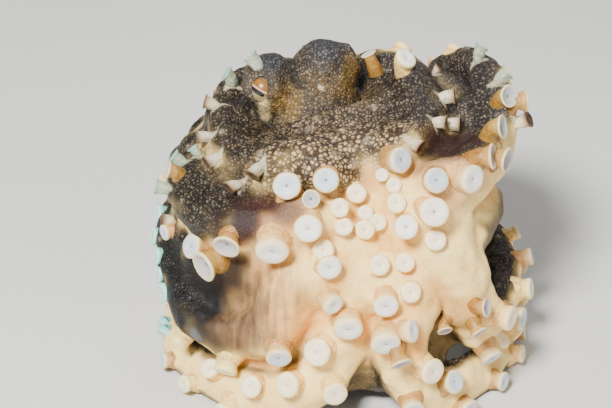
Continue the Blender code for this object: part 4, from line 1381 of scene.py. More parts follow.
    def mesh(self, name: str, stands: list[Stand], shift: Array) -> bpy.types.Object:
        """Join suckers as one mesh, with the colours of their stalks, rims and discs.

        Args:
            name: The piece's name.
            stands: Where the suckers stand.
            shift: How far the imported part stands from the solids' own frame.

        Returns:
            The new piece, with one round patch for each sucker in its bake map.
        """
        rng = np.random.default_rng(SEED)
        turns = np.arange(self.sides) * 2 * math.pi / self.sides
        grid = math.ceil(math.sqrt(len(stands)))
        points, colours, stalks, places, quads, fans = [], [], [], [], [], []
        first = 0
        for number, stand in enumerate(stands):
            palette = np.array([linear(colour)[:3] for colour in CUP_FORMS[stand.kind].colours])
            palette = palette * (1 + self.tint_varies * rng.uniform(-1, 1, 3))
            wave = self.waves[0] * np.sin(2 * turns + rng.uniform(0, 6))
            wave = wave + self.waves[1] * np.sin(5 * turns + rng.uniform(0, 6))
            wave = wave * (self.torn if stand.kind in TEETH else 1)
            spin = rng.uniform(0, math.pi)
            patch = (np.array([number % grid, number // grid]) + 0.5) / grid
            rings = self.rings(stand)
            side = unit(np.cross(stand.look, self.askew))
            for count, (centre, axis, radius, zone, pinch) in enumerate(rings):
                across = unit(side - axis * (side @ axis))
                upward = np.cross(axis, across)
                spread = radius * (1 + wave * (self.stalk_waves if zone < 0.5 else 1.0))
                one, two = np.cos(turns + spin) * spread, np.sin(turns + spin) * spread * (1 - pinch)
                points.append(centre + one[:, None] * across + two[:, None] * upward)
                stalks.append(np.full(self.sides, max(0.0, 1 - zone)))
                low = min(int(zone), 3)
                tint = palette[low] + (palette[low + 1] - palette[low]) * (zone - low)
                colours.append(np.tile(tint, (self.sides, 1)))
                apart = self.patch / grid * (1 - count / len(rings))
                places.append(patch + apart * np.stack([np.cos(turns), np.sin(turns)], axis=1))
            numbers = first + np.arange(len(rings) * self.sides).reshape(len(rings), self.sides)
            ahead = np.roll(numbers, -1, axis=1)
            quads.append(np.stack([numbers[:-1], ahead[:-1], ahead[1:], numbers[1:]], axis=2).reshape(-1, 4))
            points.append((rings[-1][0] + stand.look * -self.dip * stand.width)[None])
            colours.append(palette[4][None])
            stalks.append(np.zeros(1))
            places.append(patch[None])
            tip = first + len(rings) * self.sides
            fans.append(np.stack([numbers[-1], ahead[-1], np.full(self.sides, tip)], axis=1))
            first = tip + 1
        quads, fans = np.vstack(quads), np.vstack(fans)
        points = np.vstack(points)
        points[:, 2] = np.maximum(points[:, 2], self.floor)
        obj = make_mesh(name, points + shift, quads, fans)
        paint(obj, "tint", np.vstack(colours))
        paint(obj, "stalk", np.concatenate(stalks))
        corners = np.concatenate([quads.ravel(), fans.ravel()])
        bake = obj.data.uv_layers.new(name="OFBake")
        bake.uv.foreach_set("vector", np.vstack(places)[corners].ravel())
        return obj


# Colours of the skin


@dataclass(frozen=True)
class Tone:
    """A colouring of the skin: its ground, the cells on it and how much of it they cover."""

    ground: str
    cell: str
    cover: float
    oral: float = 0.0
    streak: float = 0.0
    fine: float = 1.0


BACK = Tone("#211913", "#655842", 0.5)
MIDBAND = Tone("#35271c", "#bba176", 0.6, fine=0.0)
UNDER_HEAD = Tone("#2c221a", "#8c795e", 0.6)
FLANK = Tone("#2a2321", "#6d6457", 0.45)
LEFT_BACK = Tone("#191411", "#5b513d", 0.5)
HEAD_SKIN = Tone("#39312a", "#6a5f48", 0.65)
SLATE = Tone("#26272b", "#57585c", 0.45)
OCHRE = Tone("#6b5226", "#a3844c", 0.7)
# Painted shade: dark skin laid in the crease where the head meets the arms
CREASE_SHADE = Tone("#1d1611", "#453a2c", 0.4)
STRIPE = Tone("#b09d70", "#dccb98", 0.9, 0.8)
CREAM_FLESH = Tone("#ffdb86", "#ffe096", 0.9, 1.0)
# Painted shade: golden-brown shading in the hollows under and between the discs
GOLDEN_SHADE = Tone("#e89c34", "#eda948", 0.9, 1.0)
PEACH = Tone("#dba069", "#e2ac78", 0.9, 1.0)
PLUM = Tone("#3c211b", "#50322a", 0.5, 0.8)
DUSK = Tone("#28140f", "#371f18", 0.4, 0.8)
TAN_WEB = Tone("#c99a5e", "#cfa366", 0.9, 0.9, 0.8)
BROWN_WEB = Tone("#75573a", "#7c5e40", 0.9, 1.0, 1.0)
GREY_WEB = Tone("#131314", "#161617", 0.8, 1.0, 0.5)
# Painted light: a bluish pool of light on the dark web
BLUE_LIGHT_PATCH = Tone("#5c646d", "#656d76", 0.8, 1.0, 0.3)
DARK_WEB = Tone("#12100f", "#24211c", 0.45)
SHADE = Tone("#291b11", "#2f2014", 0.9, 1.0, 0.2)
PATCH = Tone("#bdb392", "#d0c7aa", 0.9, 0.6)
# Painted shade: amber shading over the cream arms at the lower right
AMBER_SHADE = Tone("#b47f3a", "#c6934e", 0.9, 1.0)
# Painted shade: golden shading laid in the hollows of the cream flesh
HOLLOW_SHADE = Tone("#dfa65a", "#e3ad64", 0.9, 1.0)
# Painted shade: dark shading laid in the hollows of the dark skin
PIT_SHADE = Tone("#130e0b", "#2b241c", 0.4)
MANTLE_SKIN = Tone("#3c2e25", "#95835f", 0.6, fine=0.35)
PAPILLA = Tone("#8a7d63", "#b3a585", 0.9)


@dataclass(frozen=True)
class Stain:
    """A soft patch of a tone, centred on the skin that the photograph shows at a pixel.

    Column and row are in the photograph's pixels, and reach is in millimetres on the skin.
    """

    tone: Tone
    column: float
    row: float
    reach: float
    strength: float = 0.9


# Patches in the order that they are laid: a tone, then column, row, reach and, unless 0.9, strength of each
STAINS = [Stain(tone, *spot) for tone, *spots in (
    (CREAM_FLESH, (350, 235, 11.5), (350, 290, 13.0), (420, 215, 9.0), (300, 250, 8.5), (300, 320, 9.0),
     (385, 190, 6.0), (400, 340, 9.0), (335, 202, 5.0), (440, 260, 7.0)),
    (PEACH, (455, 195, 6.0, 0.6), (447, 170, 5.0, 0.6), (480, 172, 4.5, 0.8), (372, 172, 4.0, 0.5),
     (418, 168, 4.0, 0.5), (302, 200, 4.0, 0.7)),
    # Painted shade: golden-brown shading under and between the discs
    (GOLDEN_SHADE, (290, 308, 5.5, 0.75), (330, 288, 3.5, 0.6), (300, 335, 5.5, 0.75), (318, 318, 4.0, 0.6),
     (345, 262, 3.0, 0.4), (400, 248, 3.5, 0.4), (360, 318, 4.0, 0.5), (428, 300, 5.0, 0.5),
     (395, 322, 4.0, 0.5)),
    (PEACH, (236, 237, 3.5, 0.8), (259, 230, 3.5, 0.8), (286, 222, 3.5, 0.8), (214, 250, 3.5, 0.7)),
    (TAN_WEB, (250, 262, 3.0, 0.8)),
    # Painted shade: more golden-brown shading between the lower discs
    (GOLDEN_SHADE, (372, 330, 5.0, 0.5), (410, 345, 6.0, 0.7)),
    # Painted shade: amber shading over the cream arms at the lower right
    (AMBER_SHADE, (465, 320, 7.0, 0.8)),
    (LEFT_BACK, (205, 200, 8.0), (180, 210, 7.0), (186, 180, 7.0), (190, 232, 5.0), (235, 198, 5.0),
     (215, 222, 5.5, 0.8)),
    (PLUM, (262, 208, 5.5, 0.95), (285, 208, 4.2, 0.8)),
    (DUSK, (244, 221, 5.5, 1.0)),
    (PEACH, (262, 224, 3.0, 0.5)),
    (DUSK, (225, 235, 4.0, 0.8)),
    (BACK, (225, 130, 8.0), (215, 105, 7.0), (236, 84, 6.0), (235, 165, 6.0)),
    (UNDER_HEAD, (258, 148, 7.0), (300, 124, 6.5), (345, 114, 6.5), (390, 105, 6.0)),
    (FLANK, (415, 95, 7.0), (440, 75, 8.0), (475, 95, 8.0), (470, 62, 7.0), (435, 125, 6.0),
     (490, 118, 5.0), (418, 75, 6.0), (450, 108, 5.0)),
    (DUSK, (458, 140, 6.5, 1.0), (442, 145, 5.0, 0.9), (430, 145, 4.0, 0.8), (486, 140, 4.0, 0.6)),
    (MIDBAND, (335, 148, 9.0), (295, 160, 8.0), (375, 138, 7.0), (262, 170, 5.0, 0.8), (345, 165, 5.0),
     (308, 174, 4.0), (405, 128, 5.0, 0.5)),
    (TAN_WEB, (268, 288, 8.5), (262, 322, 7.0)),
    (BROWN_WEB, (240, 298, 9.0), (238, 330, 8.0)),
    (GREY_WEB, (208, 292, 8.5, 0.97), (202, 325, 8.5, 0.97)),
    (BROWN_WEB, (222, 328, 4.0, 0.5)),
    (DARK_WEB, (172, 290, 7.0, 1.0), (167, 255, 6.5, 1.0), (175, 320, 6.5, 1.0), (190, 265, 5.0, 1.0)),
    (SHADE, (228, 272, 5.0, 0.9), (242, 266, 3.0, 0.8)),
    # Painted light: a bluish pool of light on the dark web at the lower left
    (BLUE_LIGHT_PATCH, (194, 336, 2.2, 0.9)),
    (DARK_WEB, (163, 236, 5.0, 1.0)),
    (LEFT_BACK, (172, 226, 4.5, 1.0)),
    (DARK_WEB, (158, 222, 4.0, 1.0), (157, 250, 4.0, 1.0), (155, 270, 4.0, 1.0), (157, 290, 4.0, 1.0),
     (169, 306, 4.0, 1.0)),
    (LEFT_BACK, (180, 222, 4.0, 1.0), (163, 205, 4.0, 1.0), (168, 190, 4.0, 1.0), (176, 172, 3.5, 1.0)),
    (BACK, (219, 86, 3.5, 1.0), (210, 104, 3.5, 1.0), (204, 118, 3.5, 1.0), (202, 132, 3.5, 1.0)),
    (LEFT_BACK, (193, 160, 3.5, 1.0)),
    (BACK, (240, 70, 3.0, 1.0)),
    (FLANK, (441, 86, 4.0, 1.0), (446, 100, 4.5, 1.0), (439, 112, 4.0, 1.0), (388, 60, 3.5, 1.0),
     (494, 80, 4.0, 1.0), (500, 108, 4.0, 0.9), (497, 60, 3.5, 1.0)),
    (LEFT_BACK, (196, 122, 3.5, 1.0), (189, 138, 3.5, 1.0), (184, 150, 3.0, 1.0), (200, 110, 3.0, 1.0),
     (186, 228, 4.0, 1.0), (180, 238, 3.5, 1.0), (196, 224, 3.5, 1.0)),
    (DARK_WEB, (176, 248, 3.0, 1.0)),
    (SHADE, (230, 281, 4.0, 0.55), (216, 276, 4.0, 0.8)),
    (LEFT_BACK, (430, 82, 4.0, 0.8), (415, 97, 4.0, 0.5)),
    (BACK, (242, 150, 4.0, 0.8)),
    (DUSK, (246, 221, 3.5, 1.0)),
    (TAN_WEB, (300, 239, 3.5, 0.4), (238, 304, 4.0, 0.25)),
    # Dark over the cream sucker side of arm r1: partly dark skin, partly painted shadow
    (FLANK, (400, 58, 5.0, 1.0), (416, 62, 5.0, 1.0), (430, 70, 5.0, 1.0)),
    (SLATE, (268, 58, 4.5, 0.85), (327, 44, 6.0, 0.85)),
    (OCHRE, (287, 102, 4.6, 0.85), (354, 78, 5.0, 0.75), (320, 90, 4.0, 0.25)),
    (STRIPE, (262, 103, 1.3, 0.9), (262, 110, 1.5, 0.9), (264, 116, 1.5, 0.9)),
    (PATCH, (333, 140, 0.55, 1.0), (321, 88, 0.5, 0.9), (322, 91, 0.5, 0.9)),
) for spot in spots]


@dataclass
class SkinPaint:
    """Works out the colours of the skin from where each corner lies on the animal.

    A pair of numbers is where a change begins and ends. Lengths are in millimetres, and those of a patch in
    widths of its sucker.
    """

    arms: dict[str, Arm]
    finder: SkinFinder
    faces: Array
    back: Tone = BACK
    flesh: Tone = CREAM_FLESH
    between: Tone = DUSK
    mantle: Tone = MANTLE_SKIN
    # Painted shade laid where the skin lies in a hollow, on the cream flesh and on the dark skin
    hollow: Tone = HOLLOW_SHADE
    pit_shade: Tone = PIT_SHADE
    smoothing: int = 24
    pull: float = 0.5
    nape: tuple[float, float] = (14.0, 26.0)
    outer: tuple[float, float] = (0.3, 0.5)
    narrowed: float = 0.42
    oral_edge: tuple[float, float] = (-0.12, 0.42)
    beside_arm: float = 1.2
    mouth_reach: float = 12.0
    crease: float = 0.6
    ragged: float = 0.35
    ragged_size: float = 0.22
    agree: tuple[float, float] = (-0.4, 0.3)
    seam: tuple[float, float] = (-0.3, 1.2)
    sunken: tuple[float, float] = (0.02, 0.28)
    bright: tuple[float, float] = (0.12, 0.4)
    hollow_shade_share: float = 0.75
    pit_shade_share: float = 0.7
    patch_wide: float = 0.36
    patch_long: float = 0.85
    patch_back: float = 0.5
    patch_share: float = 0.9
    head: Tone = HEAD_SKIN
    mouth: tuple[float, float, float] = (8.0, -24.0, 46.0)

    def oral_share(self) -> Array:
        """How far each corner is on the side of the suckers, from 0 on the back to 1."""
        points, normals = self.finder.points, self.finder.normals
        total = np.zeros(len(points))
        weights = np.full(len(points), 1e-3)
        for arm in self.arms.values():
            gaps = np.full(len(points), np.inf, np.float32)
            index = np.zeros(len(points), int)
            spots = points.astype(np.float32)
            for i in range(0, len(arm.line), 2):
                gap = ((spots - arm.line[i].astype(np.float32)) ** 2).sum(axis=1)
                closer = gap < gaps
                gaps[closer] = gap[closer]
                index[closer] = i
            away = points - arm.line[index]
            gap = np.sqrt(gaps) - arm.radii[index]
            facing = np.sum(unit(away) * arm.faces[index], axis=1)
            toward = np.sum(normals * arm.faces[index], axis=1)
            beyond = ease(index / len(arm.line), *self.outer)
            share = ease(0.6 * facing + 0.4 * toward - self.narrowed * beyond, *self.oral_edge)
            weight = np.exp(-np.clip(gap, 0, 12) / self.beside_arm)
            total += weight * share
            weights += weight
        share = total / weights
        away = np.linalg.norm(points - np.array(self.mouth), axis=1)
        near = np.exp(-(away / self.mouth_reach) ** 2) * ease(-normals[:, 1], 0.2, 0.6)
        return np.maximum(share, near)

    def lay(self, layers: dict[str, Array], tone: Tone, weight: Array) -> None:
        """Lay a tone over the skin's layers, corner by corner."""
        for name in ("ground", "cell"):
            colour = np.array(linear(getattr(tone, name))[:3])
            layers[name] += (colour - layers[name]) * weight[:, None]
        for name in ("cover", "oral", "streak", "fine"):
            layers[name] += (getattr(tone, name) - layers[name]) * weight

    def patch(self, stand: Stand) -> Array:
        """How much each corner lies in the pale pointed patch of skin behind a sucker."""
        inward = unit(stand.out * (stand.look @ stand.out) - stand.look)
        offset = (self.finder.points - stand.root) / stand.width
        along, across = offset @ inward, np.abs(offset @ np.cross(stand.out, inward))
        inside = np.minimum(self.patch_wide * (1 - along / self.patch_long) - across, self.patch_back + along)
        return ease(inside, -0.05, 0.08) * ease(-np.abs(offset @ stand.out), -0.7, -0.4)

    def colours(self, flesh: Flesh, patches: list[Stand]) -> dict[str, Array]:
        """Colour every corner.

        Args:
            flesh: The form, which tells the head from the arms.
            patches: The suckers whose roots stand in a pale patch of skin.

        Returns:
            The skin's attributes by name: the ground's and the cells' colours, and how far each corner is
            covered by cells, oral, streaked, finely grained and veined.
        """
        points, normals = self.finder.points, self.finder.normals
        count = len(points)
        oral = self.oral_share()
        limb = flesh.limbs.read(flesh.limb_values, points)
        trunk = flesh.limbs.read(flesh.trunk_values, points)
        head = ease(limb - trunk, *self.seam)
        oral = oral * (1 - head)
        layers = {
            "ground": np.tile(np.array(linear(self.back.ground)[:3]), (count, 1)),
            "cell": np.tile(np.array(linear(self.back.cell)[:3]), (count, 1)),
            "cover": np.full(count, self.back.cover),
            "oral": np.zeros(count),
            "streak": np.zeros(count),
            "fine": np.ones(count),
        }
        self.lay(layers, self.head, head)
        behind = head * ease(points[:, 1], *self.nape)
        self.lay(layers, self.mantle, behind)
        # Painted shade along the crease where the head meets the arms
        self.lay(layers, CREASE_SHADE, np.clip(4 * head * (1 - head), 0, 1) ** 2 * self.crease)
        self.lay(layers, self.flesh, oral)
        self.lay(layers, self.between, 4 * oral * (1 - oral) * self.crease)
        ragged = np.array([noise.noise(Vector(point) * self.ragged_size) for point in points])
        for stain in STAINS:
            spot = self.finder.under(stain.column, stain.row)
            away = np.linalg.norm(points - points[spot], axis=1) / stain.reach * (1 + self.ragged * ragged)
            agree = ease(normals @ normals[spot], *self.agree)
            self.lay(layers, stain.tone, np.exp(-np.clip(away, 0, 3) ** 4) * agree * stain.strength)
        for stand in patches:
            self.lay(layers, PATCH, self.patch(stand) * (1 - head) * self.patch_share)
        # Painted shade in the hollows: how far each corner lies below the smoothed skin, golden on the cream
        # flesh and dark on the dark skin
        sunk = np.sum((relaxed(points, self.faces, self.smoothing, self.pull) - points) * normals, axis=1)
        sunk = ease(sunk, *self.sunken)
        light = ease(layers["cell"].mean(axis=1), *self.bright)
        cream = layers["oral"] * light * (1 - layers["streak"])
        self.lay(layers, self.hollow, sunk * cream * self.hollow_shade_share)
        self.lay(layers, self.pit_shade, sunk * (1 - layers["oral"]) * self.pit_shade_share)
        layers["vein"] = behind
        return layers


class Papillae:
    """Small pointed warts scattered over the dark skin, each with a pale tip. Lengths are in millimetres."""

    count: int = 170
    apart: float = 3.2
    from_eyes: float = 2.2 * 3.2
    lowest: float = 6.0
    height: float = 0.75
    reach: float = 0.85
    sizes: tuple[float, float] = (0.6, 1.2)
    most_oral: float = 0.05

    def __init__(self, points: Array, normals: Array, oral: Array, stands: list[Stand]) -> None:
        """Choose where they stand, clear of the suckers, of the eyes and of the floor."""
        rng = np.random.default_rng(SEED)
        self.points, self.normals = points, normals
        self.spots: list[int] = []
        roots = [stand.root for stand in stands]
        eyes = [EyeSocket(*eye).middle for eye in EYES.values()]
        dark = np.flatnonzero((oral < self.most_oral) & (points[:, 2] > self.lowest))
        for spot in rng.permutation(dark)[:6 * self.count]:
            place = points[spot]
            near = [(roots, self.apart), (eyes, self.from_eyes), (points[self.spots], self.apart)]
            if all(len(others) == 0 or np.linalg.norm(np.array(others) - place, axis=1).min() > gap
                   for others, gap in near):
                self.spots.append(spot)
            if len(self.spots) == self.count:
                break
        self.weight = np.zeros(len(points))
        self.lift = np.zeros_like(points)
        for spot in self.spots:
            size = rng.uniform(*self.sizes)
            near = np.flatnonzero(np.abs(points - points[spot]).max(axis=1) < 3 * self.reach * size)
            away = np.linalg.norm(points[near] - points[spot], axis=1) / (self.reach * size)
            peak = np.exp(-away ** 1.5)
            self.weight[near] = np.maximum(self.weight[near], peak)
            self.lift[near] += normals[spot] * (self.height * size * peak)[:, None]


@dataclass(frozen=True)
class LivingSkin:
    """Octopus skin: thin, wet and soft, with pigment cells over pale flesh.

    The eye sees dark lines round raised pale grains on the back, plain cream flesh on the side of the
    suckers, a satin wet gloss and a little light that passes through. Grain, fine grain, speck and mesh are
    in millimetres, and wrinkles, clouds, blushes, strands, folds and pores are in waves for each metre.
    Depth and relief are in metres.
    """

    grain: float = 1.05
    fine_grain: float = 0.78
    speck: float = 2.1
    mesh: float = 6.5
    wrinkles: float = 260.0
    clouds: float = 230.0
    blushes: float = 120.0
    strands: float = 650.0
    folds: float = 420.0
    pores: float = 1500.0
    relief: float = 0.0003
    roughness: float = 0.44
    matter: float = 0.16
    specular: float = 0.42
    translucence: float = 0.12
    depth: float = 0.0012
    depths: tuple[float, float, float] = (1.0, 0.6, 0.4)
    ior: float = 1.38
    warm: str = "#e9a667"
    fleck: str = "#5a3a24"
    vein: str = "#1a110d"

    def build(self) -> bpy.types.Material:
        """Make the material."""
        material, tree, shader, place = new_material("living_skin")
        fine, oral, cover, streak, vein = (add_node(tree, "Attribute", attribute_name=name).outputs["Fac"]
                                           for name in ("fine", "oral", "cover", "streak", "vein"))
        ground, cell = (add_node(tree, "Attribute", attribute_name=name).outputs["Color"]
                        for name in ("ground", "cell"))

        # Cells: bent a little, so that no two look alike; near an edge they end in a dark line
        edges, middles, shades, hues = [], [], [], []
        for size in (self.grain, self.fine_grain):
            warp = add_node(tree, "TexNoise", {"Vector": place, "Scale": 0.6 / (size * MM), "Detail": 2.0})
            bent = add_node(tree, "Mix", {0: 0.0008, 4: place, 5: warp.outputs["Color"]}, data_type="VECTOR")
            sockets = {"Vector": bent.outputs[1], "Scale": 1 / (size * MM), "Randomness": 0.9}
            edges.append(add_node(tree, "TexVoronoi", sockets,
                                  feature="DISTANCE_TO_EDGE").outputs["Distance"])
            cells = add_node(tree, "TexVoronoi", sockets)
            split = add_node(tree, "SeparateColor", {0: cells.outputs["Color"]})
            middles.append(cells.outputs["Distance"])
            shades.append(split.outputs[0])
            hues.append(split.outputs[1])
        edge, middle, shade, hue = (
            add_node(tree, "Mix", {0: fine, 2: pair[0], 3: pair[1]}, data_type="FLOAT").outputs[0]
            for pair in (edges, middles, shades, hues))
        line = add_node(tree, "MapRange", {0: edge, 1: 0.0, 2: 0.24}, **SMOOTH).outputs[0]
        radius = add_node(tree, "MapRange", {0: cover, 3: 0.12, 4: 0.85}).outputs[0]
        varied = add_node(tree, "MapRange", {0: shade, 3: 0.65, 4: 1.3}).outputs[0]
        reach = add_node(tree, "Math", {0: radius, 1: varied}, **TIMES).outputs[0]
        inside = add_node(tree, "Math", {0: reach, 1: middle}, operation="SUBTRACT").outputs[0]
        dot = add_node(tree, "MapRange", {0: inside, 1: -0.1, 2: 0.2}, **SMOOTH).outputs[0]
        mask = add_node(tree, "Math", {0: line, 1: dot}, **TIMES).outputs[0]
        lively = add_node(tree, "MapRange", {0: shade, 3: 0.55, 4: 1.25}).outputs[0]
        toned = add_node(tree, "Mix", {0: 1.0, 6: cell, 7: lively}, **MULTIPLIED).outputs[2]
        warmth = add_node(tree, "MapRange", {0: hue, 1: 0.5, 2: 1.0, 3: 0.0, 4: 0.4}).outputs[0]
        toned = add_node(tree, "Mix", {0: warmth, 6: toned, 7: linear(self.warm)}, **MULTIPLIED).outputs[2]
        plain = add_node(tree, "Mix", {0: oral, 6: toned, 7: cell}, **BLENDED).outputs[2]
        colour = add_node(tree, "Mix", {0: mask, 6: ground, 7: plain}, **BLENDED).outputs[2]

        # A dark net of veins on the mantle
        net = add_node(tree, "TexNoise", {"Vector": place, "Scale": self.wrinkles, "Detail": 2.0})
        bent = add_node(tree, "Mix", {0: 0.004, 4: place, 5: net.outputs["Color"]},
                        data_type="VECTOR").outputs[1]
        net = add_node(tree, "TexVoronoi", {"Vector": bent, "Scale": 1 / (self.mesh * MM)},
                       feature="DISTANCE_TO_EDGE")
        net = add_node(tree, "MapRange",
                       {0: net.outputs["Distance"], 1: 0.03, 2: 0.14, 3: 0.6, 4: 0.0}).outputs[0]
        net = add_node(tree, "Math", {0: net, 1: vein}, **TIMES).outputs[0]
        colour = add_node(tree, "Mix", {0: net, 6: colour, 7: linear(self.vein)}, **BLENDED).outputs[2]

        # Broad clouds over all of it, warmer clouds and sparse brown flecks on the cream side
        cloud = add_node(tree, "TexNoise",
                         {"Vector": place, "Scale": self.clouds, "Detail": 5.0, "Roughness": 0.6}).outputs[0]
        tone = add_node(tree, "MapRange", {0: cloud, 1: 0.3, 2: 0.7, 3: 0.72, 4: 1.16}).outputs[0]
        soft = add_node(tree, "MapRange", {0: cloud, 1: 0.3, 2: 0.7, 3: 0.92, 4: 1.04}).outputs[0]
        tone = add_node(tree, "Mix", {0: oral, 2: tone, 3: soft}, data_type="FLOAT").outputs[0]
        colour = add_node(tree, "Mix", {0: 1.0, 6: colour, 7: tone}, **MULTIPLIED).outputs[2]
        blush = add_node(tree, "TexNoise", {"Vector": place, "Scale": self.blushes, "Detail": 3.0}).outputs[0]
        blush = add_node(tree, "MapRange", {0: blush, 1: 0.48, 2: 0.75, 4: 0.3}).outputs[0]
        blush = add_node(tree, "Math", {0: blush, 1: oral}, **TIMES).outputs[0]
        colour = add_node(tree, "Mix", {0: blush, 6: colour, 7: linear(self.warm)}, **MULTIPLIED).outputs[2]
        specks = add_node(tree, "TexVoronoi",
                          {"Vector": place, "Scale": 1 / (self.speck * MM)}).outputs["Distance"]
        specks = add_node(tree, "MapRange", {0: specks, 1: 0.05, 2: 0.1, 3: 0.7, 4: 0.0}).outputs[0]
        specks = add_node(tree, "Math", {0: specks, 1: oral}, **TIMES).outputs[0]
        colour = add_node(tree, "Mix", {0: specks, 6: colour, 7: linear(self.fleck)}, **BLENDED).outputs[2]

        # Darker and paler strands that hang down the web
        hanging = add_node(tree, "Mapping", {"Vector": place, "Scale": (1.0, 0.7, 0.05)}).outputs[0]
        strands = add_node(tree, "TexNoise",
                           {"Vector": hanging, "Scale": self.strands, "Detail": 4.0}).outputs[0]
        strands = add_node(tree, "MapRange", {0: strands, 1: 0.35, 2: 0.65, 3: 0.55, 4: 1.35}).outputs[0]
        strands = add_node(tree, "Mix", {0: streak, 2: 1.0, 3: strands}, data_type="FLOAT").outputs[0]
        colour = add_node(tree, "Mix", {0: 1.0, 6: colour, 7: strands}, **MULTIPLIED).outputs[2]
        tree.links.new(colour, shader.inputs["Base Color"])

        gloss = add_node(tree, "MapRange",
                         {0: cloud, 3: self.roughness - 0.08, 4: self.roughness + 0.12}).outputs[0]
        gloss = add_node(tree, "Math", {0: oral, 1: self.matter, 2: gloss}, **TIMES_PLUS).outputs[0]
        tree.links.new(gloss, shader.inputs["Roughness"])
        shader.inputs["Specular IOR Level"].default_value = self.specular
        shader.inputs["IOR"].default_value = self.ior
        shader.inputs["Subsurface Weight"].default_value = self.translucence
        shader.inputs["Subsurface Radius"].default_value = self.depths
        shader.inputs["Subsurface Scale"].default_value = self.depth

        # Relief: raised grains on the dark skin, soft creases on the cream, pores everywhere
        domes = add_node(tree, "MapRange", {0: edge, 1: 0.0, 2: 0.32}, **SMOOTH).outputs[0]
        calm = add_node(tree, "MapRange", {0: oral, 3: 1.0, 4: 0.05}).outputs[0]
        domes = add_node(tree, "Math", {0: domes, 1: calm}, **TIMES).outputs[0]
        creases = add_node(tree, "TexNoise",
                           {"Vector": place, "Scale": self.folds, "Detail": 4.0,
                            "Distortion": 1.2}).outputs[0]
        pores = add_node(tree, "TexNoise", {"Vector": place, "Scale": self.pores, "Detail": 2.0}).outputs[0]
        height = add_node(tree, "Math", {0: creases, 1: 1.3, 2: domes}, **TIMES_PLUS).outputs[0]
        height = add_node(tree, "Math", {0: pores, 1: 0.25, 2: height}, **TIMES_PLUS).outputs[0]
        bump = add_node(tree, "Bump", {"Strength": 0.6, "Distance": self.relief, "Height": height})
        tree.links.new(bump.outputs["Normal"], shader.inputs["Normal"])
        return material


@dataclass(frozen=True)
class BackdropPaper:
    """Matt seamless paper: pressed fibre, which the eye sees as a soft pale ground with a faint tooth.

    Fibres and clouds are in waves for each metre, and tooth is in metres.
    """

    fibres: float = 420.0
    clouds: float = 6.0
    tooth: float = 0.0003
    pale: str = "#dcdad5"
    deep: str = "#d0cec8"
    roughness: float = 0.92

    def build(self) -> bpy.types.Material:
        """Make the material."""
        material, tree, shader, place = new_material("backdrop_paper")
        fibre = add_node(tree, "TexNoise",
                         {"Vector": place, "Scale": self.fibres, "Detail": 6.0, "Roughness": 0.7}).outputs[0]
        cloud = add_node(tree, "TexNoise", {"Vector": place, "Scale": self.clouds, "Detail": 2.0}).outputs[0]
        share = add_node(tree, "Math", {0: fibre, 1: 0.5, 2: cloud}, **TIMES_PLUS).outputs[0]
        share = add_node(tree, "MapRange", {0: share, 1: 0.45, 2: 1.05}).outputs[0]
        colour = add_node(tree, "Mix", {0: share, 6: linear(self.pale), 7: linear(self.deep)}, **BLENDED)
        tree.links.new(colour.outputs[2], shader.inputs["Base Color"])
        shader.inputs["Roughness"].default_value = self.roughness
        bump = add_node(tree, "Bump", {"Strength": 0.15, "Distance": self.tooth, "Height": fibre})
        tree.links.new(bump.outputs["Normal"], shader.inputs["Normal"])
        return material


@dataclass(frozen=True)
class Lamp:
    """A round soft box: its name, its place and width in metres, and its power in watts."""

    name: str
    place: tuple[float, float, float]
    size: float
    watts: float


@dataclass
class Studio:
    """A pale floor and soft light."""

    floor_radius: float = 3.0
    aim: tuple[float, float, float] = (0.0, 0.0, 0.03)
    sky: str = "#dfe3e8"
    sky_strength: float = 0.26
    lamps: tuple[Lamp, ...] = (Lamp("key", (-0.25, -0.55, 0.68), 0.22, 20.5),
                               Lamp("fill", (0.6, -0.5, 0.4), 0.6, 2.0),
                               Lamp("rim", (0.1, 0.7, 0.7), 0.6, 3.0))

    def build(self) -> None:
        """Lay the floor and hang the lights."""
        bpy.ops.mesh.primitive_circle_add(vertices=96, radius=self.floor_radius, fill_type="NGON")
        floor = bpy.context.object
        floor.name = "floor"
        floor.data.materials.append(BackdropPaper().build())
        for lamp in self.lamps:
            data = bpy.data.lights.new(lamp.name, "AREA")
            data.shape = "DISK"
            data.size = lamp.size
            data.energy = lamp.watts
            light = bpy.data.objects.new(lamp.name, data)
            light.location = lamp.place
            light.rotation_euler = (Vector(self.aim) - Vector(lamp.place)).to_track_quat("-Z", "Y").to_euler()
            bpy.context.scene.collection.objects.link(light)
        world = bpy.data.worlds.new("studio")
        world.use_nodes = True
        world.node_tree.nodes["Background"].inputs["Color"].default_value = linear(self.sky)
        world.node_tree.nodes["Background"].inputs["Strength"].default_value = self.sky_strength
        bpy.context.scene.world = world


FLESH_NODES = ["crown", "web_left", "web_right", "head", "mantle", "siphon"] + [
    f"arm_{name}_{part}" for name in ARM_KEYS for part in ("inner", "outer")]


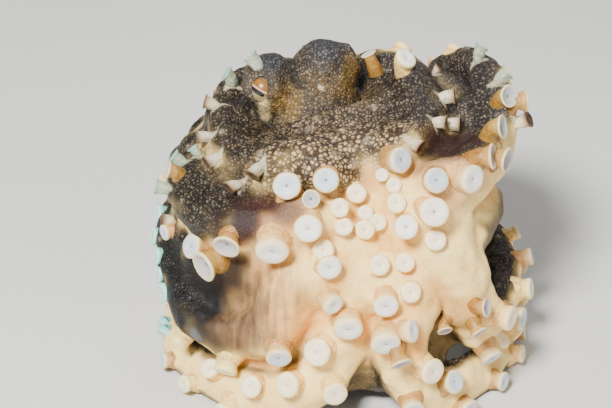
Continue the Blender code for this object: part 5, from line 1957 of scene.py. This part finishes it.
def place_piece(obj: bpy.types.Object, slot: str, *nodes: str) -> None:
    """Set a piece on the part, in the place of its nodes, and log the material slot that it shows.

    Args:
        obj: The piece.
        slot: The record's material slot that it shows, which is logged.
        nodes: The solids that it takes the place of.
    """
    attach(obj, BODY)
    if nodes:
        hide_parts(*nodes)
    logger.info("%s: %d corners, %s", obj.name, len(obj.data.vertices), slot)


def shift_of_part() -> Array:
    """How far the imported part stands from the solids' own frame, read from where its left eye is."""
    low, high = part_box("eye_left")
    return np.array((low + high) / 2) / MM - EyeSocket(*EYES["eye_left"]).middle


def main() -> None:
    """Build the octopus over the solids, with its floor, lights and camera."""
    logging.basicConfig(level=logging.INFO, format="%(message)s")
    shift = shift_of_part() * (1, 1, 0)
    arms = {name: Arm(name, line) for name, line in Settler().settle().items()}
    camera = Camera()
    camera.build(shift)
    Studio().build()

    low, high = (np.array(corner) / MM - shift for corner in SOLIDS_BOX)
    flesh = Flesh(arms, low, high)
    points, faces = flesh.build()
    normals = normals_of(points, faces)
    finder = SkinFinder(points, normals, camera)
    suckers = Suckers(arms, finder)
    shown = suckers.shown()
    stands = shown + suckers.rows(shown)

    painter = SkinPaint(arms, finder, faces)
    layers = painter.colours(flesh, [stand for stand in shown if stand.kind in TEETH])
    papillae = Papillae(points, normals, layers["oral"], stands)
    painter.lay(layers, PAPILLA, 0.7 * papillae.weight)
    skin = make_mesh("skin", suckers.swell(points, stands) + papillae.lift + shift, faces)
    for name, values in layers.items():
        paint(skin, name, values)
    skin.data.materials.append(LivingSkin().build())
    place_piece(skin, "mottled_skin", *FLESH_NODES)

    sucker_flesh = SuckerFlesh().build()
    for name in arms:
        cups = suckers.mesh(f"suckers_{name}", [stand for stand in stands if stand.arm == name], shift)
        cups.data.materials.append(sucker_flesh)
        place_piece(cups, "sucker_disc")
    wet_eye = WetEye().build()
    for name, eye in EYES.items():
        ball = EyeSocket(*eye).ball(f"{name}_ball", shift)
        ball.data.materials.append(wet_eye)
        place_piece(ball, "eye", name)


if __name__ == "__main__":
    main()
